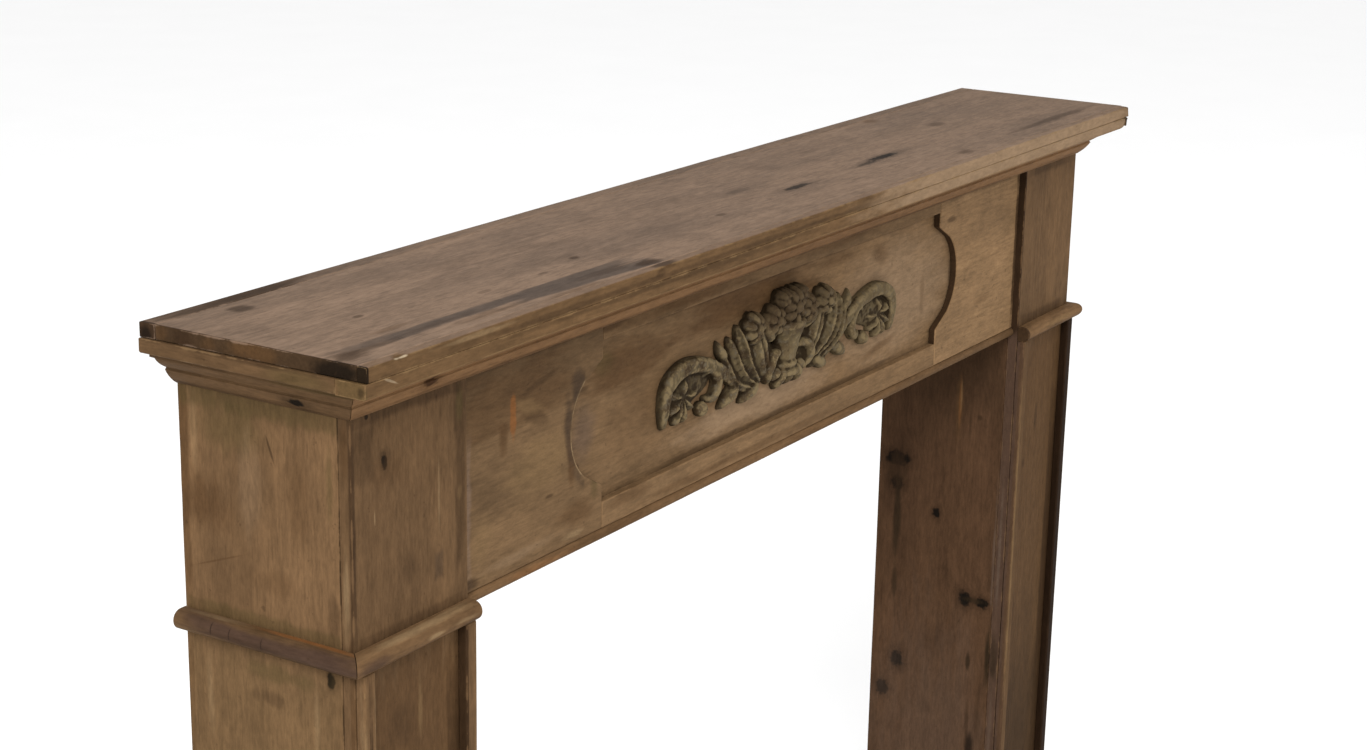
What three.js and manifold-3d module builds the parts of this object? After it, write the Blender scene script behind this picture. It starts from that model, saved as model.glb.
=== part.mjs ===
// Rustic pine fireplace mantel: a two-layer shelf over a crown moulding, two boxed legs with an
// astragal and edge strips, a panelled frieze and a carved urn-and-acanthus ornament.
// Millimetres, +Z up, front towards -Y. The origin is on the floor under the middle of the shelf.

import * as THREE from 'three';
import { mergeVertices } from 'three/addons/utils/BufferGeometryUtils.js';
import Module from 'manifold-3d';

// Overall sizes
const HEIGHT = 1100;
const SHELF_LENGTH = 1500;
const SHELF_DEPTH = 234;
const BOARD = 13;
const ARRIS = 2.5;
const FIT = 0.3;

// Shelf: a top layer of boards over a frame of strips
const SHELF_LAYER = 13;
const TOP_LAYER_INSET = 2;
const LIPPING_WIDTH = 10;
const BACK_STRIP_WIDTH = 17;
const UNDER_STRIP_WIDTH = 30;

// Crown moulding under the shelf
const CROWN_HEIGHT = 34;
const CROWN_PROJECTION = 30;

// Legs: boxes of three boards, open at the back
const SIDE_OVERHANG = 41.5;
const FRONT_OVERHANG = 51;
const LEG_WIDTH = 150;
const EDGE_STRIP_WIDTH = 15;
const EDGE_STRIP_PROUD = 10;
const ASTRAGAL_TOP = 845;
const ASTRAGAL_HEIGHT = 18;
const ASTRAGAL_PROJECTION = 16;
const PLINTH_HEIGHT = 110;
const PLINTH_FRONT = 16;
const PLINTH_SIDE = 12;
const PLINTH_CHAMFER = 5;

// Frieze: a backing panel, an applied frame with shaped ends and a bead below
const FRIEZE_RECESS = 8;
const OVERLAY = 9;
const PANEL = 12;
const FRIEZE_BOTTOM = 832.5;
const BEAD_HEIGHT = 10.5;
const BEAD_PROUD = 3;
const FIELD_BOTTOM = 869;
const FIELD_TOP = 1024;
const FIELD_HALF_LENGTH = 343.5;
const SHOULDER_HALF_HEIGHT = 60.5;
const CUSP_HALF_HEIGHT = 44.5;
const CUSP_REACH = 28.5;
const ARC_REACH = 49.5;

// Planes shared by several pieces
const FRONT_EDGE = -SHELF_DEPTH / 2;
const BACK = SHELF_DEPTH / 2;
const SHELF_END = SHELF_LENGTH / 2;
const LEG_FRONT = FRONT_EDGE + FRONT_OVERHANG;
const LEG_OUTER = SHELF_END - SIDE_OVERHANG;
const LEG_INNER = LEG_OUTER - LEG_WIDTH;
const LEG_DEPTH = BACK - LEG_FRONT;
const CARCASS_TOP = HEIGHT - SHELF_LAYER;
const CROWN_TOP = HEIGHT - 2 * SHELF_LAYER;
const FRIEZE_FACE = LEG_FRONT + FRIEZE_RECESS;
const PANEL_FACE = FRIEZE_FACE + OVERLAY;
const FRIEZE_BACK = PANEL_FACE + PANEL;
const BEAD_TOP = FRIEZE_BOTTOM + BEAD_HEIGHT;

// Directions that a moulding can face
const FACING = {
  front: new THREE.Vector3(0, -1, 0),
  left: new THREE.Vector3(-1, 0, 0),
  right: new THREE.Vector3(1, 0, 0),
};
const UP = new THREE.Vector3(0, 0, 1);

const mantel = new THREE.Group();

function add(name, geometry, colour, roughness = 0.8) {
  const material = new THREE.MeshStandardMaterial({ color: colour, roughness, metalness: 0 });
  const mesh = new THREE.Mesh(geometry, material);
  mesh.name = name;
  mantel.add(mesh);
}

// Weathered pine, from the pale shelf to the darkest inner boards
const PINE = { shelf: 0xa98d6c, face: 0x9c7a4f, edge: 0x8a6a44, dark: 0x5f4630, carved: 0x6f6547 };

// A plain board between two corners
function board(x0, y0, z0, x1, y1, z1) {
  const box = new THREE.BoxGeometry(Math.abs(x1 - x0), Math.abs(y1 - y0), Math.abs(z1 - z0));
  return box.translate((x0 + x1) / 2, (y0 + y1) / 2, (z0 + z1) / 2);
}

// A moulding of one profile (projection, height) along a straight run, with its back against a plane.
// At a mitred end every point slides along the run by its own projection.
function moulding(shape, facing, start, length, mitre = {}) {
  const options = { depth: length, bevelEnabled: false, curveSegments: 5 };
  const geometry = new THREE.ExtrudeGeometry(shape, options);
  const position = geometry.attributes.position;
  for (let i = 0; i < position.count; i += 1) {
    const projection = position.getX(i);
    const atStart = position.getZ(i) < length / 2;
    if (atStart && mitre.start) position.setZ(i, FIT / 2 - projection);
    if (!atStart && mitre.end) position.setZ(i, length - FIT / 2 + projection);
  }
  const outward = FACING[facing];
  const along = new THREE.Vector3().crossVectors(outward, UP);
  const place = new THREE.Matrix4().makeBasis(outward, UP, along).setPosition(...start);
  return geometry.applyMatrix4(place);
}

// Two slightly rounded members, the lower one rolling back into a quirk, under a square fillet
function crownProfile() {
  const quirk = { out: 12, up: 15.6 };
  const nose = { out: 13.2, up: 14 };
  const fillet = { out: 25, up: 28 };
  const shape = new THREE.Shape();
  shape.moveTo(0, 0);
  shape.lineTo(1, 0);
  shape.quadraticCurveTo(9, 5.8, nose.out, nose.up);
  shape.lineTo(quirk.out, quirk.up);
  shape.quadraticCurveTo(20.4, 20, fillet.out, fillet.up - 1.5);
  shape.lineTo(fillet.out, fillet.up);
  shape.lineTo(CROWN_PROJECTION, fillet.up);
  shape.lineTo(CROWN_PROJECTION, CROWN_HEIGHT);
  shape.lineTo(0, CROWN_HEIGHT);
  return shape;
}

// A bullnose: flat above and below, half round at the front
function bullnoseProfile(projection, height) {
  const radius = height / 2;
  const shape = new THREE.Shape();
  shape.moveTo(0, height);
  shape.lineTo(0, 0);
  shape.absarc(projection - radius, radius, radius, -Math.PI / 2, Math.PI / 2);
  return shape;
}

// A strip whose upper or lower front arris is rounded by wear
function wornStripProfile(width, height, roundTop, roundBottom) {
  const shape = new THREE.Shape();
  shape.moveTo(0, height);
  shape.lineTo(0, 0);
  if (roundBottom) shape.absarc(width - ARRIS, ARRIS, ARRIS, -Math.PI / 2, 0);
  else shape.lineTo(width, 0);
  if (roundTop) shape.absarc(width - ARRIS, height - ARRIS, ARRIS, 0, Math.PI / 2);
  else shape.lineTo(width, height);
  return shape;
}

// Shelf: the main board between a front lipping and a narrow back strip, over three strips
function buildShelf() {
  const topEnd = SHELF_END - TOP_LAYER_INSET;
  const lippingBack = FRONT_EDGE + LIPPING_WIDTH;
  const stripFront = BACK - BACK_STRIP_WIDTH;
  const layerZ = HEIGHT - SHELF_LAYER;
  add('shelf_board', board(-topEnd, lippingBack, layerZ, topEnd, stripFront, HEIGHT), PINE.shelf);
  const lipping = wornStripProfile(LIPPING_WIDTH, SHELF_LAYER, true, false);
  const lippingRun = 2 * topEnd;
  add('shelf_front_lipping',
    moulding(lipping, 'front', [topEnd, lippingBack, layerZ], lippingRun), PINE.shelf);
  add('shelf_back_strip', board(-topEnd, stripFront, layerZ, topEnd, BACK, HEIGHT), PINE.dark);

  const underBack = FRONT_EDGE + UNDER_STRIP_WIDTH;
  const underInner = SHELF_END - UNDER_STRIP_WIDTH;
  const strip = wornStripProfile(UNDER_STRIP_WIDTH, SHELF_LAYER, false, true);
  const sideRun = BACK - underBack;
  add('shelf_under_strip_front',
    moulding(strip, 'front', [SHELF_END, underBack, CROWN_TOP], SHELF_LENGTH), PINE.face);
  add('shelf_under_strip_left',
    moulding(strip, 'left', [-underInner, underBack, CROWN_TOP], sideRun), PINE.face);
  add('shelf_under_strip_right',
    moulding(strip, 'right', [underInner, BACK, CROWN_TOP], sideRun), PINE.face);
}

// Crown moulding on three sides of the carcass, mitred at the front corners
function buildCrown() {
  const profile = crownProfile();
  const z = CROWN_TOP - CROWN_HEIGHT;
  const bothEnds = { start: true, end: true };
  add('crown_front',
    moulding(profile, 'front', [LEG_OUTER, LEG_FRONT, z], 2 * LEG_OUTER, bothEnds), PINE.face);
  add('crown_left',
    moulding(profile, 'left', [-LEG_OUTER, LEG_FRONT, z], LEG_DEPTH, { start: true }), PINE.face);
  add('crown_right',
    moulding(profile, 'right', [LEG_OUTER, BACK, z], LEG_DEPTH, { end: true }), PINE.face);
}

// A leg's plinth board, with a chamfered upper arris
function plinthProfile(thickness) {
  const shape = new THREE.Shape();
  shape.moveTo(0, 0);
  shape.lineTo(thickness, 0);
  shape.lineTo(thickness, PLINTH_HEIGHT - PLINTH_CHAMFER);
  shape.lineTo(thickness - PLINTH_CHAMFER, PLINTH_HEIGHT);
  shape.lineTo(0, PLINTH_HEIGHT);
  return shape;
}

// One edge strip on a leg's front, with both front arrises rounded
function edgeStrip(x0, z0, z1) {
  const half = EDGE_STRIP_WIDTH / 2;
  const shape = new THREE.Shape();
  shape.moveTo(half, 0);
  shape.lineTo(-half, 0);
  shape.absarc(-half + ARRIS, -EDGE_STRIP_PROUD + ARRIS, ARRIS, Math.PI, 1.5 * Math.PI);
  shape.absarc(half - ARRIS, -EDGE_STRIP_PROUD + ARRIS, ARRIS, 1.5 * Math.PI, 2 * Math.PI);
  const options = { depth: z1 - z0, bevelEnabled: false, curveSegments: 3 };
  const geometry = new THREE.ExtrudeGeometry(shape, options);
  return geometry.translate(x0 + half, LEG_FRONT, z0);
}

// One leg: a front board over two side boards, with its strips, astragal and plinth
function buildLeg(side, sign) {
  const outer = sign * LEG_OUTER;
  const inner = sign * LEG_INNER;
  const left = Math.min(outer, inner);
  const right = Math.max(outer, inner);
  const behind = LEG_FRONT + BOARD;
  const outerBack = outer - sign * BOARD;
  const innerBack = inner + sign * BOARD;
  add(`leg_${side}_front_board`, board(outer, LEG_FRONT, 0, inner, behind, CARCASS_TOP), PINE.face);
  add(`leg_${side}_outer_board`, board(outer, behind, 0, outerBack, BACK, CARCASS_TOP), PINE.face);
  add(`leg_${side}_inner_board`, board(inner, behind, 0, innerBack, BACK, CARCASS_TOP), PINE.dark);

  const astragalZ = ASTRAGAL_TOP - ASTRAGAL_HEIGHT;
  const nose = bullnoseProfile(ASTRAGAL_PROJECTION, ASTRAGAL_HEIGHT);
  const isLeft = sign < 0;
  const frontMitre = { start: !isLeft, end: isLeft };
  add(`astragal_${side}_front`,
    moulding(nose, 'front', [right, LEG_FRONT, astragalZ], LEG_WIDTH, frontMitre), PINE.edge);
  const sideStart = isLeft ? LEG_FRONT : BACK;
  const sideMitre = { start: isLeft, end: !isLeft };
  add(`astragal_${side}_side`,
    moulding(nose, side, [outer, sideStart, astragalZ], LEG_DEPTH, sideMitre), PINE.dark);

  const stripEnds = [PLINTH_HEIGHT, astragalZ];
  const stripStarts = { left, right: right - EDGE_STRIP_WIDTH };
  for (const [edge, x] of Object.entries(stripStarts)) {
    add(`leg_${side}_edge_strip_${edge}`, edgeStrip(x, ...stripEnds), PINE.edge);
  }

  const plinthEnd = outer + sign * PLINTH_SIDE;
  const plinthRight = Math.max(plinthEnd, inner);
  const front = plinthProfile(PLINTH_FRONT);
  const flank = plinthProfile(PLINTH_SIDE);
  add(`plinth_${side}_front`,
    moulding(front, 'front', [plinthRight, LEG_FRONT, 0], LEG_WIDTH + PLINTH_SIDE), PINE.edge);
  add(`plinth_${side}_side`, moulding(flank, side, [outer, sideStart, 0], LEG_DEPTH), PINE.edge);
}

// The inner edge of a shaped end board of the frieze, from the top down, on the +X side:
// a short upright, a sloping shoulder, a cusp and an outward-bowed arc, the same below.
function shapedEdge(shape, middle) {
  const cusp = FIELD_HALF_LENGTH + CUSP_REACH;
  const sagitta = ARC_REACH - CUSP_REACH;
  const radius = (CUSP_HALF_HEIGHT ** 2 + sagitta ** 2) / (2 * sagitta);
  const centre = FIELD_HALF_LENGTH + ARC_REACH - radius;
  const turn = Math.atan2(CUSP_HALF_HEIGHT, cusp - centre);
  shape.lineTo(FIELD_HALF_LENGTH, middle + SHOULDER_HALF_HEIGHT);
  shape.lineTo(cusp, middle + CUSP_HALF_HEIGHT);
  shape.absarc(centre, middle, radius, turn, -turn, true);
  shape.lineTo(FIELD_HALF_LENGTH, middle - SHOULDER_HALF_HEIGHT);
}

// A shaped end board in the XZ plane, standing on the overlay's front face
function friezeEnd() {
  const middle = (FIELD_BOTTOM + FIELD_TOP) / 2;
  const shape = new THREE.Shape();
  shape.moveTo(FIELD_HALF_LENGTH, BEAD_TOP);
  shape.lineTo(LEG_INNER, BEAD_TOP);
  shape.lineTo(LEG_INNER, CARCASS_TOP);
  shape.lineTo(FIELD_HALF_LENGTH, CARCASS_TOP);
  shapedEdge(shape, middle);
  const options = { depth: OVERLAY, bevelEnabled: false, curveSegments: 14 };
  const geometry = new THREE.ExtrudeGeometry(shape, options);
  return geometry.rotateX(Math.PI / 2).translate(0, PANEL_FACE, 0);
}

// Frieze between the legs
function buildFrieze() {
  const end = LEG_INNER;
  const rail = FIELD_HALF_LENGTH;
  const turned = friezeEnd().rotateZ(Math.PI).translate(0, FRIEZE_FACE + PANEL_FACE, 0);
  add('frieze_panel', board(-end, PANEL_FACE, BEAD_TOP, end, FRIEZE_BACK, CARCASS_TOP), PINE.face);
  add('frieze_end_left', turned, PINE.face);
  add('frieze_end_right', friezeEnd(), PINE.face);
  add('frieze_top_rail', board(-rail, FRIEZE_FACE, FIELD_TOP, rail, PANEL_FACE, CARCASS_TOP), PINE.face);
  add('frieze_bottom_rail', board(-rail, FRIEZE_FACE, BEAD_TOP, rail, PANEL_FACE, FIELD_BOTTOM), PINE.face);
  const beadDepth = FRIEZE_BACK - FRIEZE_FACE + BEAD_PROUD;
  const bead = bullnoseProfile(beadDepth, BEAD_HEIGHT);
  add('frieze_bead', moulding(bead, 'front', [end, FRIEZE_BACK, FRIEZE_BOTTOM], 2 * end), PINE.edge);
}

// Carved ornament. Its own axes are u to the right and v up from the urn's middle, and w out of the panel.
const ORNAMENT_MIDDLE = 950;
const ORNAMENT_REACH = 60;
const URN = { foot: -36, waist: -26, rim: 16, lip: 4, flattening: 0.78 };
const URN_RADII = { foot: 21, waist: 16, rim: 27 };
const SPRING = [36, -30];
const FAN = { lobes: 4, angles: [73, 31], lengths: [75, 100], widths: [15, 29], rise: 16, bow: 0.22 };
const FAN_BODY = { bend: [80, 0], tip: [112, 22], widths: [34, 74], rise: 9 };
const SCROLL = { widths: [17, 14], rise: 13 };
const SCROLL_PATH = [
  [100, -25], [128, -8], [158, 7], [196, 14], [226, 3], [236, -18], [222, -38], [200, -33],
];
const VOLUTE_BODY = { path: [[140, -5], [192, -7], [228, -20]], widths: [36, 56], rise: 9 };
const ROSETTE = { u: 211, v: -18, radius: 20, rise: 14, petals: 6 };
const DROPS = [[[98, -22], [78, -46]], [[122, -14], [140, -43]], [[158, -8], [171, -41]]];
const DROP = { widths: [12, 17], rise: 11 };
const CURL = { path: [[8, -26], [44, -24], [36, -46]], widths: [14, 15], rise: 16 };
const TIP_LEAF = { path: [[116, 2], [130, 14], [136, 26]], widths: [18, 12], rise: 10 };
const CROWN_LEAF = { path: [[26, 8], [48, 20], [60, 38]], widths: [22, 15], rise: 14 };
const FOOT_LEAVES = { reach: 22, drop: -49, widths: [15, 17], rise: 15 };
const MIDDLE_FLOWER = { u: 0, v: 36, radius: 23, rise: 24, petals: 6 };
const SIDE_FLOWER = { u: 34, v: 27, radius: 19, rise: 20, petals: 6 };

const wasm = await Module();
wasm.setup();

function solidOf(geometry) {
  geometry.deleteAttribute('normal');
  geometry.deleteAttribute('uv');
  const merged = mergeVertices(geometry);
  const vertProperties = new Float32Array(merged.attributes.position.array);
  const triVerts = new Uint32Array(merged.index.array);
  return new wasm.Manifold(new wasm.Mesh({ numProp: 3, vertProperties, triVerts }));
}

function geometryOf(solid) {
  const mesh = solid.getMesh();
  const geometry = new THREE.BufferGeometry();
  geometry.setAttribute('position', new THREE.BufferAttribute(new Float32Array(mesh.vertProperties), 3));
  geometry.setIndex(new THREE.BufferAttribute(new Uint32Array(mesh.triVerts), 1));
  return geometry;
}

// A carved lobe: a sphere bent along a curve in the panel's plane. Its width goes from the first
// to the second value along the curve, and the smaller bluntness is, the fuller its ends are.
function lobe(points, widths, rise, { around = 8, along = 8, bluntness = 0.42 } = {}) {
  const curve = new THREE.CatmullRomCurve3(points.map(([u, v]) => new THREE.Vector3(u, v, 0)));
  const geometry = new THREE.SphereGeometry(1, around, along);
  const position = geometry.attributes.position;
  const point = new THREE.Vector3();
  for (let i = 0; i < position.count; i += 1) {
    point.fromBufferAttribute(position, i);
    const t = 1 - Math.acos(THREE.MathUtils.clamp(point.y, -1, 1)) / Math.PI;
    const ring = Math.hypot(point.x, point.z) || 1;
    const fullness = Math.sin(Math.PI * t) ** bluntness;
    const half = THREE.MathUtils.lerp(widths[0], widths[1], t) / 2;
    const across = (point.x / ring) * half * fullness;
    const out = (point.z / ring) * rise * fullness;
    const place = curve.getPoint(t);
    const tangent = curve.getTangent(t);
    position.setXYZ(i, place.x + tangent.y * across, place.y - tangent.x * across, out);
  }
  return solidOf(geometry);
}

// A rounded boss standing on the panel
function boss(u, v, radius, rise) {
  const geometry = new THREE.SphereGeometry(1, 6, 5).rotateX(Math.PI / 2);
  return solidOf(geometry.scale(radius, radius, rise).translate(u, v, 0));
}

// A flower: a boss inside a ring of lower petals
function flower({ u, v, radius, rise, petals }) {
  const bossRadius = 0.42 * radius;
  const ringRadius = 0.6 * radius;
  const petalRise = 0.75 * rise;
  const parts = [boss(u, v, bossRadius, rise)];
  for (let i = 0; i < petals; i += 1) {
    const angle = (2 * Math.PI * (i + 0.5)) / petals;
    const petalU = u + ringRadius * Math.cos(angle);
    const petalV = v + ringRadius * Math.sin(angle);
    parts.push(boss(petalU, petalV, bossRadius, petalRise));
  }
  return parts;
}

// The urn: a turned body that flares from its waist to its rim, flattened against the panel
function urn() {
  const hollow = 1;
  const profile = [
    [0, URN.foot],
    [URN_RADII.foot, URN.foot],
    [URN_RADII.waist, URN.waist],
    [(URN_RADII.waist + URN_RADII.rim) / 2 - hollow, (URN.waist + URN.rim) / 2],
    [URN_RADII.rim - URN.lip, URN.rim - URN.lip],
    [URN_RADII.rim, URN.rim],
    [0, URN.rim],
  ];
  const points = profile.map(([radius, v]) => new THREE.Vector2(radius, v));
  return solidOf(new THREE.LatheGeometry(points, 14).scale(1, 1, URN.flattening));
}

// The fanned acanthus lobes on one side, over a broad low leaf
function fan(flip) {
  const [u, v] = SPRING;
  const parts = [lobe(flip([SPRING, FAN_BODY.bend, FAN_BODY.tip]), FAN_BODY.widths, FAN_BODY.rise)];
  for (let i = 0; i < FAN.lobes; i += 1) {
    const share = i / (FAN.lobes - 1);
    const angle = THREE.MathUtils.degToRad(THREE.MathUtils.lerp(...FAN.angles, share));
    const length = THREE.MathUtils.lerp(...FAN.lengths, share);
    const tip = [u + length * Math.cos(angle), v + length * Math.sin(angle)];
    const bendAngle = angle - FAN.bow;
    const bend = [u + 0.5 * length * Math.cos(bendAngle), v + 0.5 * length * Math.sin(bendAngle)];
    parts.push(lobe(flip([SPRING, bend, tip]), FAN.widths, FAN.rise));
  }
  return parts;
}

// One side of the urn: the fan, the S-scroll with its volute, drops, leaves and a side flower
function ornamentSide(sign) {
  const flip = (points) => points.map(([u, v]) => [sign * u, v]);
  const parts = fan(flip);
  const ribbon = { along: 26, bluntness: 0.25 };
  parts.push(lobe(flip([SPRING, ...SCROLL_PATH]), SCROLL.widths, SCROLL.rise, ribbon));
  for (const { path, widths, rise } of [VOLUTE_BODY, CURL, TIP_LEAF, CROWN_LEAF]) {
    parts.push(lobe(flip(path), widths, rise));
  }
  for (const path of DROPS) {
    parts.push(lobe(flip(path), DROP.widths, DROP.rise, { along: 6 }));
  }
  for (const bloom of [ROSETTE, SIDE_FLOWER]) {
    parts.push(...flower({ ...bloom, u: sign * bloom.u }));
  }
  const foot = [sign * FOOT_LEAVES.reach, FOOT_LEAVES.drop];
  parts.push(lobe([[0, URN.waist], foot], FOOT_LEAVES.widths, FOOT_LEAVES.rise, { along: 6 }));
  return parts;
}

// One carved piece: everything joined, trimmed flat where it lies on the panel
function buildOrnament() {
  const parts = [urn(), ...flower(MIDDLE_FLOWER), ...ornamentSide(-1), ...ornamentSide(1)];
  const middleLeaf = [[0, URN.waist], [0, FOOT_LEAVES.drop]];
  parts.push(lobe(middleLeaf, FOOT_LEAVES.widths, FOOT_LEAVES.rise, { along: 6 }));
  const joined = parts.reduce((whole, part) => whole.add(part));
  const room = new THREE.BoxGeometry(SHELF_LENGTH, HEIGHT, ORNAMENT_REACH);
  const carved = joined.intersect(solidOf(room.translate(0, 0, FIT + ORNAMENT_REACH / 2)));
  const geometry = geometryOf(carved).rotateX(Math.PI / 2).translate(0, PANEL_FACE, ORNAMENT_MIDDLE);
  add('carved_ornament', geometry, PINE.carved, 0.75);
}

buildShelf();
buildCrown();
buildLeg('left', -1);
buildLeg('right', 1);
buildFrieze();
buildOrnament();

export default mantel;
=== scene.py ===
"""Rustic pine fireplace mantel: worn boards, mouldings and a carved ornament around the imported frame."""
import math
from collections import namedtuple

import bmesh
import bpy
import numpy as np
from mathutils import Matrix, Vector, noise


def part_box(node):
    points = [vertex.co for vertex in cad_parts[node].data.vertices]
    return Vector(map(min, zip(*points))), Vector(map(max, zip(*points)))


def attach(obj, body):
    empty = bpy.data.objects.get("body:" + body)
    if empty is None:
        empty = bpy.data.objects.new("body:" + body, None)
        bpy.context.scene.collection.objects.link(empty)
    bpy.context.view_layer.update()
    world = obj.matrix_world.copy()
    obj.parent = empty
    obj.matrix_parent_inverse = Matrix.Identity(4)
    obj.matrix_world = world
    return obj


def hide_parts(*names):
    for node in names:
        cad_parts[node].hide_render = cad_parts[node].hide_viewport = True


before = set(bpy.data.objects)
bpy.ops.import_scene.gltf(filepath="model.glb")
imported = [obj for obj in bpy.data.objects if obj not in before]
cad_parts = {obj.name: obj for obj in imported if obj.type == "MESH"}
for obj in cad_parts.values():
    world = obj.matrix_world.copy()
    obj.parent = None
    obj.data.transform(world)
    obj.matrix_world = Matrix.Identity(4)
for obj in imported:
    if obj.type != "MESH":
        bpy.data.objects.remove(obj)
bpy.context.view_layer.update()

bl_info = {
    "name": "Rustic pine mantel",
    "version": (1, 0, 0),
    "blender": (4, 5, 0),
    "location": "View3D > Sidebar > Mantel",
    "description": "Builds the worn boards, mouldings and carved ornament of a pine fireplace mantel",
    "category": "Add Mesh",
}

MM = 0.001

# Camera at the photograph's place, as fitted to the shelf's and legs' edges.
CAMERA_PLACE = (-2.07817, -1.22669, 1.58961)
CAMERA_RIGHT = (0.53386, -0.84537, 0.01847)
CAMERA_UP = (0.22278, 0.16169, 0.96137)
CAMERA_BACK = (-0.81570, -0.50912, 0.27465)
SENSOR_WIDTH = 36.0
FOCAL_PIXELS = 2386.59
IMAGE_WIDTH = 1367

# Tints of stains, dirt, bare wood and painted shade, linear.
TINTS = {
    "soot": (0.005, 0.0035, 0.0023),
    "grime": (0.016, 0.010, 0.005),
    "umber": (0.026, 0.014, 0.007),
    "bistre": (0.034, 0.019, 0.009),
    "bloom": (0.043, 0.027, 0.0145),
    "brown": (0.060, 0.031, 0.013),
    "olive": (0.060, 0.041, 0.016),
    "ash": (0.070, 0.046, 0.032),
    "slate": (0.066, 0.048, 0.037),
    "plum": (0.047, 0.027, 0.018),
    "dun": (0.043, 0.027, 0.016),
    "rust": (0.150, 0.058, 0.017),
    "tan": (0.150, 0.092, 0.042),
    "grey": (0.150, 0.100, 0.070),
    "lichen": (0.120, 0.101, 0.068),
    "sand": (0.185, 0.122, 0.072),
    "bare": (0.250, 0.170, 0.090),
    "chalk": (0.340, 0.270, 0.180),
}

# One mark on a surface: centre and half sizes in mm, tint, strength, softness, raggedness, how square it is,
# and its turn in degrees about an axis.
Mark = namedtuple(
    "Mark",
    "at size tint strength soft ragged box turn axis",
    defaults=(0.8, 0.6, 0.35, 0.0, 0.0, 2),
)
# One knot: centre and half sizes in mm, and how dark it is.
Knot = namedtuple("Knot", "at size depth", defaults=(0.9,))
# One place where an arris or corner is rubbed or chipped away: centre, reach and depth in mm.
Rub = namedtuple("Rub", "at reach depth")
# One arc scribed on the frieze: centre and radius in mm, the x beyond which it shows and on which side,
# its half width in mm, tint and strength.
Arc = namedtuple("Arc", "at radius limit side width tint strength")
# One board or moulding: CAD node, material slot, grain direction (0 x, 1 y, 2 z), tone and shade, radius of
# its arrises and spacing of its cuts in mm, whether rubbed arrises show bare wood, and its marks: stains,
# wear and painted shade.
Board = namedtuple(
    "Board",
    "node slot along tone shade radius cell bare marks knots rubs arcs",
    defaults=(0.8, 6.0, False, (), (), (), ()),
)

# What every pine surface shares: hardly any sheen and a fine relief.
SHEEN = 0.02
RELIEF = 0.0006
# How much lighter a rubbed arris is than its board.
RUBBED_LIFT = 1.5
# The uneven finish of a board: part of the mottling, shade of the tone and share.
FINISH = (("Dull", 0.6, 0.8), ("Pale", 1.4, 0.8), ("Threads", 1.4, 0.3), ("Flecks", 0.5, 0.5))
SPECK_SHARE = 0.35
RING_SHADE = 0.5
RING_SHARE = 0.6
# Raggedness of a mark's outline, per metre across and along the grain.
GRIT_ACROSS = 60.0
GRIT_ALONG = 14.0


# Shader node helpers

def rgba(colour):
    """The colour with full alpha."""
    return (*tuple(colour)[:3], 1.0)


def fill(tree, made, sockets):
    """Gives a node's inputs their values, or links to other nodes' outputs."""
    for key, value in sockets.items():
        if isinstance(value, bpy.types.NodeSocket):
            tree.links.new(value, made.inputs[key])
        else:
            made.inputs[key].default_value = value
    return made


def put(tree, kind, sockets=None, **settings):
    """Adds one shader node with its settings and inputs."""
    made = tree.nodes.new("ShaderNode" + kind)
    for name, value in settings.items():
        setattr(made, name, value)
    return fill(tree, made, sockets or {})


def calc(tree, operation, a, b=0.0, c=0.0):
    """One Math node."""
    return put(tree, "Math", {0: a, 1: b, 2: c}, operation=operation).outputs[0]


def times(tree, a, b):
    """The product of two values."""
    return calc(tree, "MULTIPLY", a, b)


def vector_calc(tree, operation, a, b=(0.0, 0.0, 0.0)):
    """One Vector Math node with a vector result."""
    return put(tree, "VectorMath", {0: a, 1: b}, operation=operation).outputs["Vector"]


def length(tree, vector):
    """The length of a vector."""
    return put(tree, "VectorMath", {0: vector}, operation="LENGTH").outputs["Value"]


def axes_of(tree, vector):
    """The x, y and z of a vector."""
    return put(tree, "SeparateXYZ", {0: vector}).outputs


def mixed(tree, factor, a, b):
    """One colour Mix node."""
    return put(tree, "Mix", {0: factor, 6: a, 7: b}, data_type="RGBA").outputs[2]


def laid(tree, colour, mask, share, tint):
    """The colour with a share of a tint laid over it where the mask is."""
    return mixed(tree, times(tree, mask, share), colour, rgba(tint))


def cloud(tree, vector, scale=1.0, detail=2.0, roughness=0.5):
    """One noise texture's value."""
    sockets = {"Vector": vector, "Scale": scale, "Detail": detail, "Roughness": roughness}
    return put(tree, "TexNoise", sockets).outputs["Fac"]


def streaks(tree, vector, along, across, detail, roughness=0.5):
    """Noise drawn out along X, from its frequencies along and across the grain."""
    drawn = vector_calc(tree, "MULTIPLY", vector, (along, across, across))
    return cloud(tree, drawn, 1.0, detail, roughness)


def slope(tree, value, low, high):
    """The value eased from 0 at low to 1 at high."""
    sockets = {"Value": value, "From Min": low, "From Max": high}
    return put(tree, "MapRange", sockets, interpolation_type="SMOOTHSTEP").outputs["Result"]


def open_group(name, inputs, outputs):
    """A new shader node group with its sockets: the tree, what comes in and what goes out."""
    tree = bpy.data.node_groups.new(name, "ShaderNodeTree")
    for label, kind, default in inputs:
        socket = tree.interface.new_socket(label, in_out="INPUT", socket_type="NodeSocket" + kind)
        socket.default_value = default
    for label, kind in outputs:
        tree.interface.new_socket(label, in_out="OUTPUT", socket_type="NodeSocket" + kind)
    entry = tree.nodes.new("NodeGroupInput")
    result = tree.nodes.new("NodeGroupOutput")
    return tree, entry.outputs, result.inputs


def from_centre(tree, vector, given):
    """The way from a group's centre, in units of its half sizes."""
    away = vector_calc(tree, "SUBTRACT", vector, given["Centre"])
    return vector_calc(tree, "DIVIDE", away, given["Size"])


# Shared shader groups

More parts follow.
